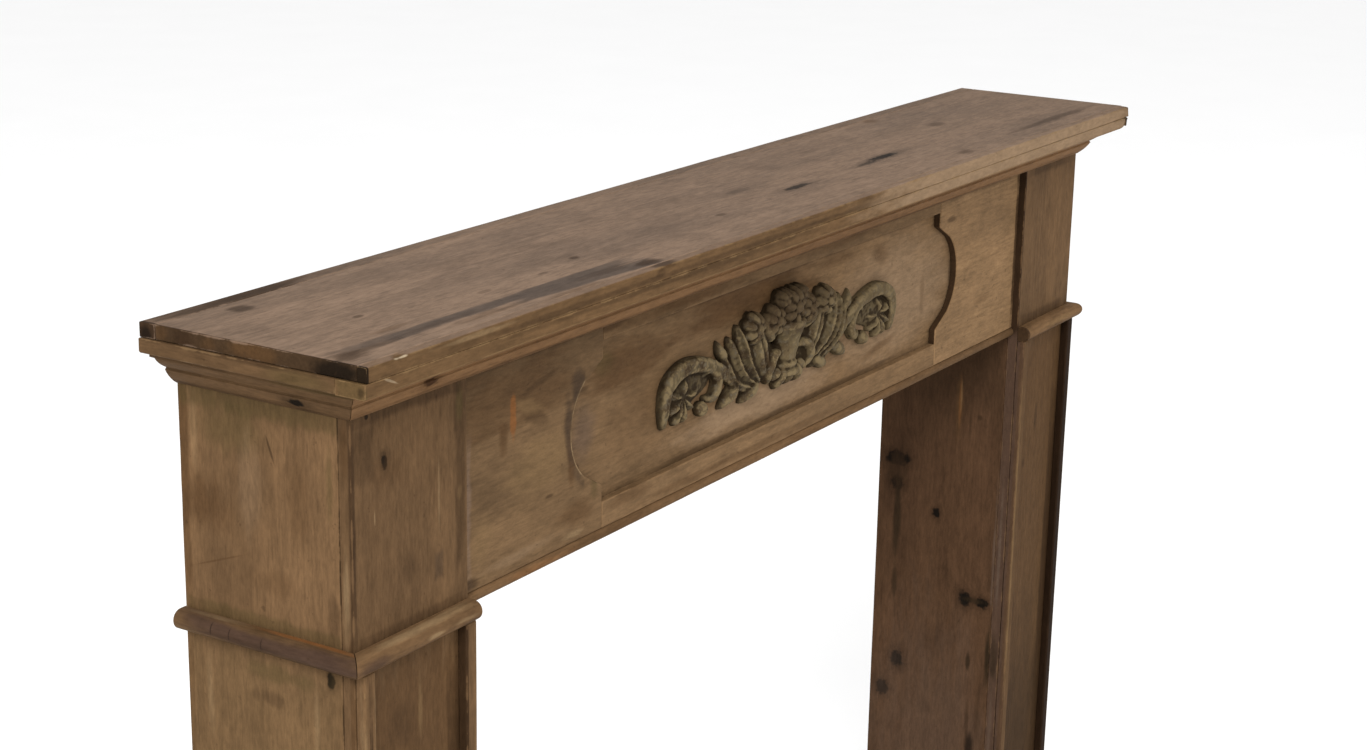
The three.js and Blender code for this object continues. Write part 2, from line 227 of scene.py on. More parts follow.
def pine_grain_group():
    """Pine figure with the grain along X: colour, fine height and roughness."""
    tree, given, result = open_group(
        "pine grain",
        [
            ("Vector", "Vector", (0.0, 0.0, 0.0)),
            ("Warp", "Float", 0.0),
            ("Light", "Color", (0.3, 0.2, 0.1, 1.0)),
            ("Dark", "Color", (0.15, 0.09, 0.04, 1.0)),
            ("Figure", "Float", 0.5),
        ],
        [("Color", "Color"), ("Height", "Float"), ("Roughness", "Float")],
    )
    place = given["Vector"]
    sway = streaks(tree, place, 1.6, 5.0, 2.0)
    shift = calc(tree, "MULTIPLY_ADD", sway, 0.024, times(tree, given["Warp"], 0.014))
    bent = vector_calc(tree, "ADD", place, put(tree, "CombineXYZ", {"Y": shift, "Z": shift}).outputs[0])
    broad = streaks(tree, bent, 2.2, 13.0, 3.0)
    streak = streaks(tree, bent, 3.4, 120.0, 3.0, 0.6)
    fibre = streaks(tree, bent, 24.0, 900.0, 2.0)
    flame = streaks(tree, bent, 0.9, 14.0, 1.0)
    lines = calc(tree, "SINE", times(tree, flame, 95.0))
    lines = calc(tree, "POWER", calc(tree, "MULTIPLY_ADD", lines, 0.5, 0.5), 3.0)
    lines = times(tree, lines, slope(tree, streak, 0.35, 0.65))
    tone = calc(tree, "MULTIPLY_ADD", slope(tree, broad, 0.28, 0.72), 0.55, times(tree, streak, 0.45))
    tone = calc(tree, "MULTIPLY_ADD", fibre, 0.24, calc(tree, "SUBTRACT", tone, 0.12))
    tone = calc(tree, "SUBTRACT", tone, times(tree, lines, given["Figure"]))
    colour = mixed(tree, slope(tree, tone, -0.05, 0.95), given["Dark"], given["Light"])
    height = calc(tree, "MULTIPLY_ADD", streak, 0.5, times(tree, fibre, 0.5))
    height = calc(tree, "SUBTRACT", height, times(tree, lines, 0.4))
    tree.links.new(colour, result["Color"])
    tree.links.new(height, result["Height"])
    tree.links.new(calc(tree, "MULTIPLY_ADD", broad, 0.25, 0.48), result["Roughness"])
    return tree


def blot_group():
    """A soft ragged spot of stain, dirt or bare wood at one place, round or square."""
    tree, given, result = open_group(
        "blot",
        [
            ("Vector", "Vector", (0.0, 0.0, 0.0)),
            ("Centre", "Vector", (0.0, 0.0, 0.0)),
            ("Size", "Vector", (0.01, 0.01, 0.01)),
            ("Axis", "Vector", (0.0, 0.0, 1.0)),
            ("Turn", "Float", 0.0),
            ("Soft", "Float", 0.5),
            ("Ragged", "Float", 0.3),
            ("Box", "Float", 0.0),
            ("Grit", "Vector", (GRIT_ACROSS, GRIT_ACROSS, GRIT_ACROSS)),
        ],
        [("Mask", "Float")],
    )
    place = given["Vector"]
    turned = put(
        tree,
        "VectorRotate",
        {"Vector": place, "Center": given["Centre"], "Axis": given["Axis"], "Angle": given["Turn"]},
        rotation_type="AXIS_ANGLE",
    ).outputs[0]
    away = from_centre(tree, turned, given)
    part = axes_of(tree, vector_calc(tree, "ABSOLUTE", away))
    square_reach = calc(tree, "MAXIMUM", calc(tree, "MAXIMUM", part[0], part[1]), part[2])
    reaches = {0: given["Box"], 2: length(tree, away), 3: square_reach}
    distance = put(tree, "Mix", reaches, data_type="FLOAT").outputs[0]
    gritty = cloud(tree, vector_calc(tree, "MULTIPLY", place, given["Grit"]), detail=3.0, roughness=0.6)
    tear = times(tree, calc(tree, "SUBTRACT", gritty, 0.5), times(tree, given["Ragged"], 3.0))
    inner = calc(tree, "SUBTRACT", 1.0, given["Soft"])
    clear = calc(tree, "SUBTRACT", 1.0, slope(tree, calc(tree, "ADD", distance, tear), 1.05, inner))
    tree.links.new(calc(tree, "SUBTRACT", 1.0, calc(tree, "POWER", clear, 1.8)), result["Mask"])
    return tree


def knot_group():
    """A knot: its dark core, the ring round it and the reach over which the grain bends."""
    tree, given, result = open_group(
        "knot",
        [
            ("Vector", "Vector", (0.0, 0.0, 0.0)),
            ("Centre", "Vector", (0.0, 0.0, 0.0)),
            ("Size", "Vector", (0.01, 0.01, 0.01)),
        ],
        [("Core", "Float"), ("Ring", "Float"), ("Bend", "Float")],
    )
    distance = length(tree, from_centre(tree, given["Vector"], given))
    tear = calc(tree, "SUBTRACT", cloud(tree, given["Vector"], scale=190.0, detail=2.0), 0.5)
    edge = calc(tree, "ADD", distance, tear)
    tree.links.new(slope(tree, edge, 1.05, 0.55), result["Core"])
    tree.links.new(slope(tree, edge, 2.1, 0.8), result["Ring"])
    square = times(tree, distance, times(tree, distance, -0.16))
    tree.links.new(calc(tree, "EXPONENT", square), result["Bend"])
    return tree


def arris_group():
    """Rubbed arrises of a square board: 1 on its edges, fading over a ragged width."""
    tree, given, result = open_group(
        "arris wear",
        [
            ("Vector", "Vector", (0.0, 0.0, 0.0)),
            ("Low", "Vector", (-1.0, -1.0, -1.0)),
            ("High", "Vector", (1.0, 1.0, 1.0)),
            ("Width", "Float", 0.003),
        ],
        [("Mask", "Float")],
    )
    below = vector_calc(tree, "SUBTRACT", given["Vector"], given["Low"])
    above = vector_calc(tree, "SUBTRACT", given["High"], given["Vector"])
    part = axes_of(tree, vector_calc(tree, "MINIMUM", below, above))
    small = calc(tree, "MINIMUM", part[0], part[1])
    large = calc(tree, "MAXIMUM", part[0], part[1])
    middle = calc(tree, "MAXIMUM", small, calc(tree, "MINIMUM", large, part[2]))
    patch = cloud(tree, given["Vector"], scale=34.0, detail=4.0, roughness=0.65)
    reach = times(tree, given["Width"], slope(tree, patch, 0.38, 0.72))
    share = calc(tree, "DIVIDE", middle, calc(tree, "ADD", reach, 0.00015))
    tree.links.new(slope(tree, share, 1.0, 0.2), result["Mask"])
    return tree


def arc_group():
    """A line along an arc in the frieze's plane, on one side of a given x."""
    tree, given, result = open_group(
        "arc line",
        [
            ("Vector", "Vector", (0.0, 0.0, 0.0)),
            ("Centre", "Vector", (0.0, 0.0, 0.0)),
            ("Radius", "Float", 0.05),
            ("Width", "Float", 0.002),
            ("Limit", "Float", 0.0),
            ("Side", "Float", 1.0),
        ],
        [("Mask", "Float")],
    )
    away = vector_calc(tree, "SUBTRACT", given["Vector"], given["Centre"])
    distance = length(tree, vector_calc(tree, "MULTIPLY", away, (1.0, 0.0, 1.0)))
    gap = calc(tree, "ABSOLUTE", calc(tree, "SUBTRACT", distance, given["Radius"]))
    patch = cloud(tree, given["Vector"], scale=55.0, detail=3.0)
    line = slope(tree, calc(tree, "DIVIDE", gap, given["Width"]), 1.0, 0.1)
    line = times(tree, line, slope(tree, patch, 0.25, 0.55))
    x = axes_of(tree, given["Vector"])[0]
    beyond = times(tree, calc(tree, "SUBTRACT", x, given["Limit"]), given["Side"])
    tree.links.new(times(tree, line, slope(tree, beyond, 0.0, 0.004)), result["Mask"])
    return tree


def mottle_group():
    """Uneven old finish along X: clouds of dull and pale, flecks, threads, specks and a finer tone."""
    tree, given, result = open_group(
        "mottle",
        [("Vector", "Vector", (0.0, 0.0, 0.0))],
        [(label, "Float") for label in ("Dull", "Pale", "Flecks", "Threads", "Specks", "Tone")],
    )
    place = given["Vector"]
    wide = streaks(tree, place, 8.0, 15.0, 5.0, 0.62)
    smear = streaks(tree, place, 22.0, 56.0, 4.0, 0.65)
    both = calc(tree, "MULTIPLY_ADD", smear, 0.45, times(tree, wide, 0.55))
    short = streaks(tree, place, 34.0, 330.0, 2.0)
    thin = streaks(tree, place, 9.0, 210.0, 2.0)
    fine = cloud(tree, place, scale=170.0, detail=2.0)
    dirt = streaks(tree, place, 26.0, 64.0, 8.0, 0.8)
    pores = streaks(tree, place, 80.0, 300.0, 4.0, 0.75)
    tone = calc(tree, "ADD", slope(tree, pores, 0.3, 0.7), slope(tree, dirt, 0.3, 0.7))
    tree.links.new(calc(tree, "MULTIPLY_ADD", tone, 0.45, -0.45), result["Tone"])
    tree.links.new(slope(tree, both, 0.49, 0.66), result["Dull"])
    tree.links.new(slope(tree, both, 0.48, 0.33), result["Pale"])
    tree.links.new(slope(tree, short, 0.54, 0.68), result["Flecks"])
    tree.links.new(slope(tree, thin, 0.42, 0.3), result["Threads"])
    tree.links.new(slope(tree, fine, 0.68, 0.78), result["Specks"])
    return tree


GROUP_MAKERS = {
    "pine grain": pine_grain_group,
    "blot": blot_group,
    "knot": knot_group,
    "arris wear": arris_group,
    "arc line": arc_group,
    "mottle": mottle_group,
}


def use_group(tree, name, sockets):
    """Places a shared group, made on first use, in a material and returns its outputs."""
    made = tree.nodes.new("ShaderNodeGroup")
    made.node_tree = bpy.data.node_groups.get(name) or GROUP_MAKERS[name]()
    return fill(tree, made, sockets).outputs


# Materials

GRAIN_TURNS = {0: (0.0, 0.0, 0.0), 1: (0.0, 0.0, math.radians(-90.0)), 2: (0.0, math.radians(90.0), 0.0)}
AXES = ((1.0, 0.0, 0.0), (0.0, 1.0, 0.0), (0.0, 0.0, 1.0))
# How far each board's pattern lies from that of the board before it.
PATTERN_STEP = (1.37, 0.713, 0.531)


def scaled(colour, factor):
    """The colour made lighter or darker."""
    return tuple(min(1.0, part * factor) for part in tuple(colour)[:3])


def metres(point):
    """A point given in mm, in metres."""
    return tuple(part * MM for part in point)


def new_material(name):
    """A new material, its tree, its shader and the Object coordinates."""
    made = bpy.data.materials.new(name)
    made.use_nodes = True
    tree = made.node_tree
    return made, tree, tree.nodes["Principled BSDF"], put(tree, "TexCoord").outputs["Object"]


def feed_shader(tree, shader, colour, roughness, height, strength):
    """Gives the shader its colour, roughness, fine relief and sheen."""
    tree.links.new(colour, shader.inputs["Base Color"])
    tree.links.new(roughness, shader.inputs["Roughness"])
    bump = put(tree, "Bump", {"Height": height, "Strength": strength, "Distance": RELIEF})
    tree.links.new(bump.outputs[0], shader.inputs["Normal"])
    shader.inputs["Specular IOR Level"].default_value = SHEEN


def mark_mask(tree, place, mark, along):
    """Where one mark lies on a board whose grain runs along an axis."""
    grit = [GRIT_ACROSS] * 3
    grit[along] = GRIT_ALONG
    sockets = {
        "Vector": place,
        "Centre": metres(mark.at),
        "Size": metres(mark.size),
        "Axis": AXES[mark.axis],
        "Turn": math.radians(mark.turn),
        "Soft": mark.soft,
        "Ragged": mark.ragged,
        "Box": mark.box,
        "Grit": tuple(grit),
    }
    return use_group(tree, "blot", sockets)["Mask"]


def arc_mask(tree, place, arc):
    """Where one scribed arc lies on the frieze."""
    sockets = {
        "Vector": place,
        "Centre": metres(arc.at),
        "Radius": arc.radius * MM,
        "Width": arc.width * MM,
        "Limit": arc.limit * MM,
        "Side": arc.side,
    }
    return use_group(tree, "arc line", sockets)["Mask"]


def pine_material(board, tone, wood, number):
    """Aged pine for one board: grain, knots, stains and painted shade, mottled finish and rubbed arrises."""
    made, tree, shader, place = new_material("pine_" + board.node)
    shift = tuple(number * step for step in PATTERN_STEP)
    turn = GRAIN_TURNS[board.along]
    turned = put(tree, "Mapping", {"Vector": place, "Location": shift, "Rotation": turn}).outputs[0]
    bend = 0.0
    knots = []
    for knot in board.knots:
        sockets = {"Vector": place, "Centre": metres(knot.at), "Size": metres(knot.size)}
        parts = use_group(tree, "knot", sockets)
        bend = calc(tree, "ADD", parts["Bend"], bend)
        knots.append((knot, parts))
    grain = use_group(
        tree,
        "pine grain",
        {
            "Vector": turned,
            "Warp": bend,
            "Light": rgba(scaled(tone, board.shade * (1.0 + wood.grain_contrast))),
            "Dark": rgba(scaled(tone, board.shade * (1.0 - wood.grain_contrast))),
            "Figure": wood.figure,
        },
    )
    mottle = use_group(tree, "mottle", {"Vector": turned})
    colour = grain["Color"]
    for part, factor, share in FINISH:
        colour = laid(tree, colour, mottle[part], wood.mottle * share, scaled(tone, board.shade * factor))
    for knot, parts in knots:
        ring = scaled(tone, board.shade * RING_SHADE)
        colour = laid(tree, colour, parts["Ring"], knot.depth * RING_SHARE, ring)
        colour = laid(tree, colour, parts["Core"], knot.depth, TINTS["soot"])
    for mark in board.marks:
        mask = mark_mask(tree, place, mark, board.along)
        colour = laid(tree, colour, mask, mark.strength, TINTS[mark.tint])
    for arc in board.arcs:
        colour = laid(tree, colour, arc_mask(tree, place, arc), arc.strength, TINTS[arc.tint])
    colour = laid(tree, colour, mottle["Specks"], SPECK_SHARE, TINTS["umber"])
    stain = calc(tree, "MULTIPLY_ADD", mottle["Tone"], wood.mottle, 1.0)
    colour = put(tree, "VectorMath", {0: colour, "Scale": stain}, operation="SCALE").outputs[0]
    low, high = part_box(board.node)
    sockets = {"Vector": place, "Low": tuple(low), "High": tuple(high), "Width": wood.arris_width}
    worn = use_group(tree, "arris wear", sockets)["Mask"]
    rubbed = scaled(tone, board.shade * RUBBED_LIFT)
    if board.bare:
        rubbed = [0.5 * (part + pale) for part, pale in zip(rubbed, wood.bare_tone)]
    colour = laid(tree, colour, worn, wood.arris_strength, rubbed)
    feed_shader(tree, shader, colour, grain["Roughness"], grain["Height"], 0.35)
    return made


def carving_spot(tree, place, centre, size, soft):
    """Where a soft spot lies on the carving."""
    sockets = {"Vector": place, "Centre": centre, "Size": size, "Soft": soft, "Ragged": 0.3}
    return use_group(tree, "blot", sockets)["Mask"]


def carved_material(wood):
    """The carving's olive patina: dirt and painted shade in the hollows and on low walls, rubbed ridges with
    a painted highlight, browner flowers and a painted lighter right half.
    """
    made, tree, shader, place = new_material("patina_carving")
    tone = wood.carved_tone
    ridge = scaled(tone, 2.2)
    depth = put(tree, "Attribute", attribute_name="grime").outputs["Fac"]
    across = axes_of(tree, place)
    cloudy = cloud(tree, place, scale=45.0, detail=4.0, roughness=0.6)
    patches = cloud(tree, place, scale=75.0, detail=5.0, roughness=0.7)
    scurf = cloud(tree, place, scale=150.0, detail=4.0, roughness=0.7)
    uneven = calc(tree, "MULTIPLY_ADD", calc(tree, "SUBTRACT", cloudy, 0.5), 0.3, depth)
    flowers = carving_spot(tree, place, (0.0, -0.06, 0.992), (0.125, 0.05, 0.036), 0.8)
    urn_face = carving_spot(tree, place, (0.004, -0.06, 0.935), (0.03, 0.05, 0.032), 0.7)
    dark, light = rgba(scaled(tone, 0.72)), rgba(scaled(tone, 1.3))
    colour = mixed(tree, slope(tree, cloudy, 0.36, 0.64), dark, light)
    layers = (
        # rubbed ridges with a painted highlight, dark patches and pale scurf
        (slope(tree, uneven, 0.44, 0.2), 0.85, ridge),
        (slope(tree, patches, 0.47, 0.57), 0.72, TINTS["umber"]),
        (slope(tree, scurf, 0.5, 0.66), 0.5, TINTS["lichen"]),
        # browner flowers and a lighter vase face
        (flowers, 0.75, TINTS["bloom"]),
        (urn_face, 0.45, ridge),
        # dirt and painted shade where the carving meets the panel, a painted lighter right half where the
        # light falls, and dirt and painted shade in the hollows
        (slope(tree, across[1], -0.058, -0.0505), 0.85, TINTS["grime"]),
        (slope(tree, across[0], 0.02, 0.16), 0.35, scaled(tone, 1.8)),
        (slope(tree, uneven, 0.5, 0.82), 0.86, TINTS["grime"]),
    )
    for mask, share, tint in layers:
        colour = laid(tree, colour, mask, share, tint)
    roughness = calc(tree, "MULTIPLY_ADD", cloudy, 0.3, 0.45)
    feed_shader(tree, shader, colour, roughness, cloud(tree, place, scale=420.0, detail=3.0), 0.3)
    return made


# Mesh helpers

# Points closer than this are merged, and faces that meet at less than this angle are one.
MERGE_REACH = 0.02 * MM
FLAT_ANGLE = math.radians(1.0)
# Edges that turn outwards by more than this are arrises.
ARRIS_ANGLE = math.radians(50.0)
# Frequencies of wear, per metre: sway of the faces, worn stretches, nicks and sharp nicks.
SWAY_WAVES = 11.0
WORN_STRETCHES = 6.0
NICKS = 45.0
SHARP_NICKS = 130.0


def keep_piece(name, mesh, material, slot, *nodes):
    """Puts a finished mesh in the scene in place of CAD nodes, riding with the root body."""
    piece = bpy.data.objects.new(name, mesh)
    bpy.context.scene.collection.objects.link(piece)
    mesh.materials.append(material)
    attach(piece, "root")
    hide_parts(*nodes)
    return piece


def node_shape(node):
    """A merged copy of a CAD node's mesh with its flat faces made whole."""
    shape = bmesh.new()
    shape.from_mesh(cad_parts[node].data)
    bmesh.ops.remove_doubles(shape, verts=shape.verts[:], dist=MERGE_REACH)
    bmesh.ops.dissolve_limit(shape, angle_limit=FLAT_ANGLE, verts=shape.verts[:], edges=shape.edges[:])
    return shape


def ease_arrises(shape, radius):
    """Rounds the outer arrises."""
    sharp = [
        edge for edge in shape.edges
        if edge.is_manifold and edge.calc_face_angle_signed() > ARRIS_ANGLE
    ]
    bmesh.ops.bevel(
        shape,
        geom=sharp,
        offset=radius,
        offset_type="OFFSET",
        affect="EDGES",
        segments=3,
        profile=0.5,
        material=-1,
        clamp_overlap=True,
        loop_slide=True,
    )


def cut_lengths(shape, cell):
    """Cuts the long edges into short lengths, so that wear can move the arrises."""
    low = Vector([min(v.co[k] for v in shape.verts) for k in range(3)])
    high = Vector([max(v.co[k] for v in shape.verts) for k in range(3)])
    span = high - low
    axis = max(range(3), key=lambda k: span[k])
    long_edges = [
        edge for edge in shape.edges
        if abs((edge.verts[1].co - edge.verts[0].co)[axis]) > 0.6 * span[axis]
    ]
    cuts = max(1, int(span[axis] / cell) - 1)
    bmesh.ops.subdivide_edges(shape, edges=long_edges, cuts=cuts)


def wear(shape, seed, sway, nick, rubs):
    """Lets the faces sway a little, nicks the arrises and rubs away the given places."""
    shape.normal_update()
    offset = Vector((seed * 7.13, seed * 3.71, seed * 1.93))
    moves = []
    for vert in shape.verts:
        turn = 1.0 - min(face.normal.dot(vert.normal) for face in vert.link_faces)
        on_arris = min(1.0, turn / 0.04)
        slow = noise.noise(vert.co * SWAY_WAVES + offset)
        zone = max(0.0, noise.noise(vert.co * WORN_STRETCHES - offset) + 0.2)
        fine = 0.5 + 0.5 * noise.noise(vert.co * NICKS + offset)
        sharp = max(0.0, noise.noise(vert.co * SHARP_NICKS + offset) - 0.35)
        depth = sway * (0.5 + 0.5 * slow) + on_arris * nick * zone * (fine + 1.4 * sharp)
        for rub in rubs:
            away = (vert.co - Vector(metres(rub.at))).length / (rub.reach * MM)
            if away < 1.0:
                depth += rub.depth * MM * (1.0 - away) ** 2
        moves.append(depth)
    for vert, depth in zip(shape.verts, moves):
        vert.co -= vert.normal * depth


def worn_board(board, tone, settings, number):
    """One board or moulding: the CAD solid with rounded, nicked arrises and its own pine."""
    shape = node_shape(board.node)
    ease_arrises(shape, board.radius * MM)
    cut_lengths(shape, board.cell * MM)
    wear(shape, number, settings.sway, settings.nick, board.rubs)
    mesh = bpy.data.meshes.new("aged_" + board.node)
    shape.to_mesh(mesh)
    shape.free()
    mesh.shade_smooth()
    material = pine_material(board, tone, settings, number)
    piece = keep_piece("aged_" + board.node, mesh, material, board.slot, board.node)
    even = piece.modifiers.new("even_shading", "WEIGHTED_NORMAL")
    even.mode = "FACE_AREA"
    return piece


# Boards and mouldings, with their stains, wear and painted shade

SHELF = [
    Board(
        "shelf_board", "pine_shelf", 0, "shelf_tone", 0.95, 1.2, 6.0, False,
        marks=(
            Mark((-670, 80, 1100), (15, 13, 8), "umber", 0.7, 0.7, 0.5),
            Mark((-633, -13, 1100), (8, 4, 6), "umber", 0.6),
            Mark((-651, -58, 1100), (26, 5, 6), "brown", 0.4, 0.9, 0.6),
            Mark((-505, -45, 1100), (11, 4, 6), "umber", 0.4),
            Mark((-422, -46, 1100), (9, 4, 6), "umber", 0.35),
            Mark((-357, -34, 1100), (8, 5, 6), "umber", 0.7),
            Mark((-120, -44, 1100), (10, 5, 6), "umber", 0.5),
            Mark((-505, -77, 1100), (205, 9, 8), "slate", 0.95, 0.5, 0.3, 1.0),
            Mark((-425, -90, 1100), (115, 11, 8), "slate", 0.95, 0.4, 0.3, 1.0, 3.8),
            Mark((-610, -79, 1100), (60, 7, 8), "umber", 0.4, 0.9, 0.5),
            Mark((-380, -86, 1100), (60, 8, 8), "umber", 0.35, 0.9, 0.5),
            Mark((-332, -97, 1100), (24, 9, 8), "umber", 0.75, 0.9, 0.5),
            Mark((-728, -82, 1100), (24, 17, 8), "umber", 0.75, 0.9, 0.6),
            Mark((-700, -80, 1100), (40, 9, 8), "umber", 0.5, 1.0, 0.6),
            Mark((-690, -72, 1100), (60, 9, 8), "slate", 0.75, 0.9, 0.6),
            Mark((-450, -104, 1100), (70, 5, 6), "brown", 0.45, 1.0, 0.5),
            Mark((-560, -92, 1100), (70, 7, 6), "brown", 0.35, 1.0, 0.5),
            Mark((600, -77, 1100), (165, 9, 8), "umber", 0.6, 0.9, 0.45),
            Mark((335, -88, 1100), (24, 10, 8), "umber", 0.6, 0.9, 0.4),
            Mark((475, 17, 1100), (22, 12, 8), "umber", 0.5, 0.9, 0.4),
            Mark((445, 92, 1100), (22, 12, 8), "brown", 0.6, 0.9, 0.4),
            Mark((-748, -3, 1093), (2.4, 130, 20), "bistre", 0.97, 0.3, 0.15, 1.0),
            Mark((-748, 94, 1094), (4, 9, 9), "brown", 0.6, 0.9, 0.4),
            Mark((-748, 42, 1094), (4, 11, 9), "brown", 0.6, 0.9, 0.4),
            Mark((-748, -4, 1094), (4, 34, 12), "brown", 0.95, 0.9, 0.4),
            Mark((-748, 70, 1093), (4, 13, 12), "umber", 0.85, 0.8, 0.4),
            Mark((-748, -86, 1091), (5, 28, 14), "soot", 0.85, 0.7, 0.35),
        ),
        knots=(
            Knot((48, -35, 1100), (32, 6, 8), 0.8),
            Knot((-8, 2, 1100), (28, 7, 8), 0.3),
            Knot((250, -28, 1100), (38, 7, 8), 0.9),
            Knot((205, -33, 1100), (26, 4, 8), 0.6),
        ),
    ),
    Board(
        "shelf_front_lipping", "pine_shelf", 0, "shelf_face_tone", 0.85, 0.7, 4.0, True,
        marks=(
            Mark((430, -117, 1093), (430, 14, 16), "sand", 1.0, 0.5, 0.25),
            Mark((-480, -117, 1091), (190, 6, 3.4), "bistre", 0.5, 0.9, 0.6),
            Mark((-620, -117, 1096), (70, 6, 2.6), "bare", 0.3, 0.9, 0.6),
            Mark((-120, -117, 1091), (270, 6, 4), "bistre", 0.55, 0.9, 0.6),
            Mark((0, -112, 1101.5), (900, 20, 2.4), "grey", 0.75, 0.4, 0.1, 1.0),
            Mark((-330, -111, 1100), (24, 9, 5), "umber", 0.75, 0.7, 0.5),
            Mark((-340, -117, 1095), (9, 5, 6), "umber", 0.4, 0.9, 0.5),
            Mark((-706, -117, 1099.5), (9, 4, 2.0), "chalk", 0.85, 0.4, 0.5),
            Mark((-748, -112, 1093), (3, 14, 14), "soot", 0.9, 0.2, 0.2, 1.0),
        ),
        rubs=(
            Rub((-706, -117, 1100), 16, 2.2),
            Rub((-748, -117, 1093), 9, 1.5),
            Rub((748, -117, 1100), 16, 2.6),
        ),
    ),
    Board(
        "shelf_back_strip", "pine_dark", 0, "shelf_tone", 0.85, 1.0, 6.0,
        marks=(
            Mark((-640, 108, 1096), (130, 16, 16), "umber", 0.85, 0.8, 0.4),
            Mark((-748, 108, 1094), (4, 14, 14), "umber", 0.95, 0.2, 0.2, 1.0),
            Mark((-748, 110, 1091), (5, 8, 8), "soot", 0.7, 0.7, 0.3),
        ),
    ),
    Board(
        "shelf_under_strip_front", "pine_shelf", 0, "shelf_face_tone", 0.95, 0.6, 4.0, True,
        marks=(
            Mark((430, -117, 1081), (430, 14, 16), "sand", 0.95, 0.5, 0.25),
            Mark((-300, -117, 1084), (350, 6, 3.4), "bistre", 0.5, 0.9, 0.6),
            Mark((0, -117, 1074), (900, 5, 2.4), "tan", 0.85, 0.7, 0.35, 1.0),
            Mark((-719, -117, 1083), (12, 4, 1.2), "chalk", 0.35, 0.6, 0.5, 0.0, -24.0, 1),
            Mark((-750, -102, 1081), (3, 17, 10), "olive", 0.5, 0.5, 0.4, 1.0),
            Mark((-750, -112, 1080), (4, 4, 5), "grime", 0.6, 0.8, 0.5),
        ),
        rubs=(Rub((750, -117, 1078), 26, 6.0), Rub((750, -117, 1087), 12, 1.5)),
    ),
    Board(
        "shelf_under_strip_left", "pine_face", 1, "face_tone", 0.9, 1.2, 5.0, True,
        marks=(
            Mark((-750, -50, 1080), (4, 40, 12), "olive", 0.5, 0.9, 0.4),
            Mark((-750, 10, 1086), (4, 110, 3), "umber", 0.5, 0.9, 0.5),
        ),
    ),
    Board("shelf_under_strip_right", "pine_face", 1, "face_tone", 0.9, 1.2, 5.0),
]

CROWN = [
    Board(
        "crown_front", "pine_face", 0, "face_tone", 1.36, 0.5, 6.0,
        marks=(
            Mark((0, -85, 1058), (900, 30, 20), "rust", 0.18, 0.3, 0.2, 1.0),
            Mark((0, -95, 1074), (900, 12, 5), "tan", 0.5, 0.9, 0.5, 1.0),
            Mark((0, -70, 1040), (900, 8, 6), "umber", 0.55, 0.9, 0.4, 1.0),
        ),
        knots=(Knot((-622, -80, 1053), (10, 8, 7), 0.95), Knot((240, -85, 1060), (6, 8, 4), 0.5)),
    ),
    Board(
        "crown_left", "pine_face", 1, "face_tone", 0.88, 0.5, 6.0,
        marks=(
            Mark((-709, 20, 1040), (8, 140, 6), "umber", 0.55, 0.9, 0.4, 1.0),
            Mark((-735, -60, 1070), (12, 60, 6), "olive", 0.5, 0.9, 0.5),
        ),
        knots=(Knot((-720, -20, 1048), (8, 11, 5), 0.95),),
    ),
    Board("crown_right", "pine_face", 1, "face_tone", 0.95, 0.5, 6.0),
]

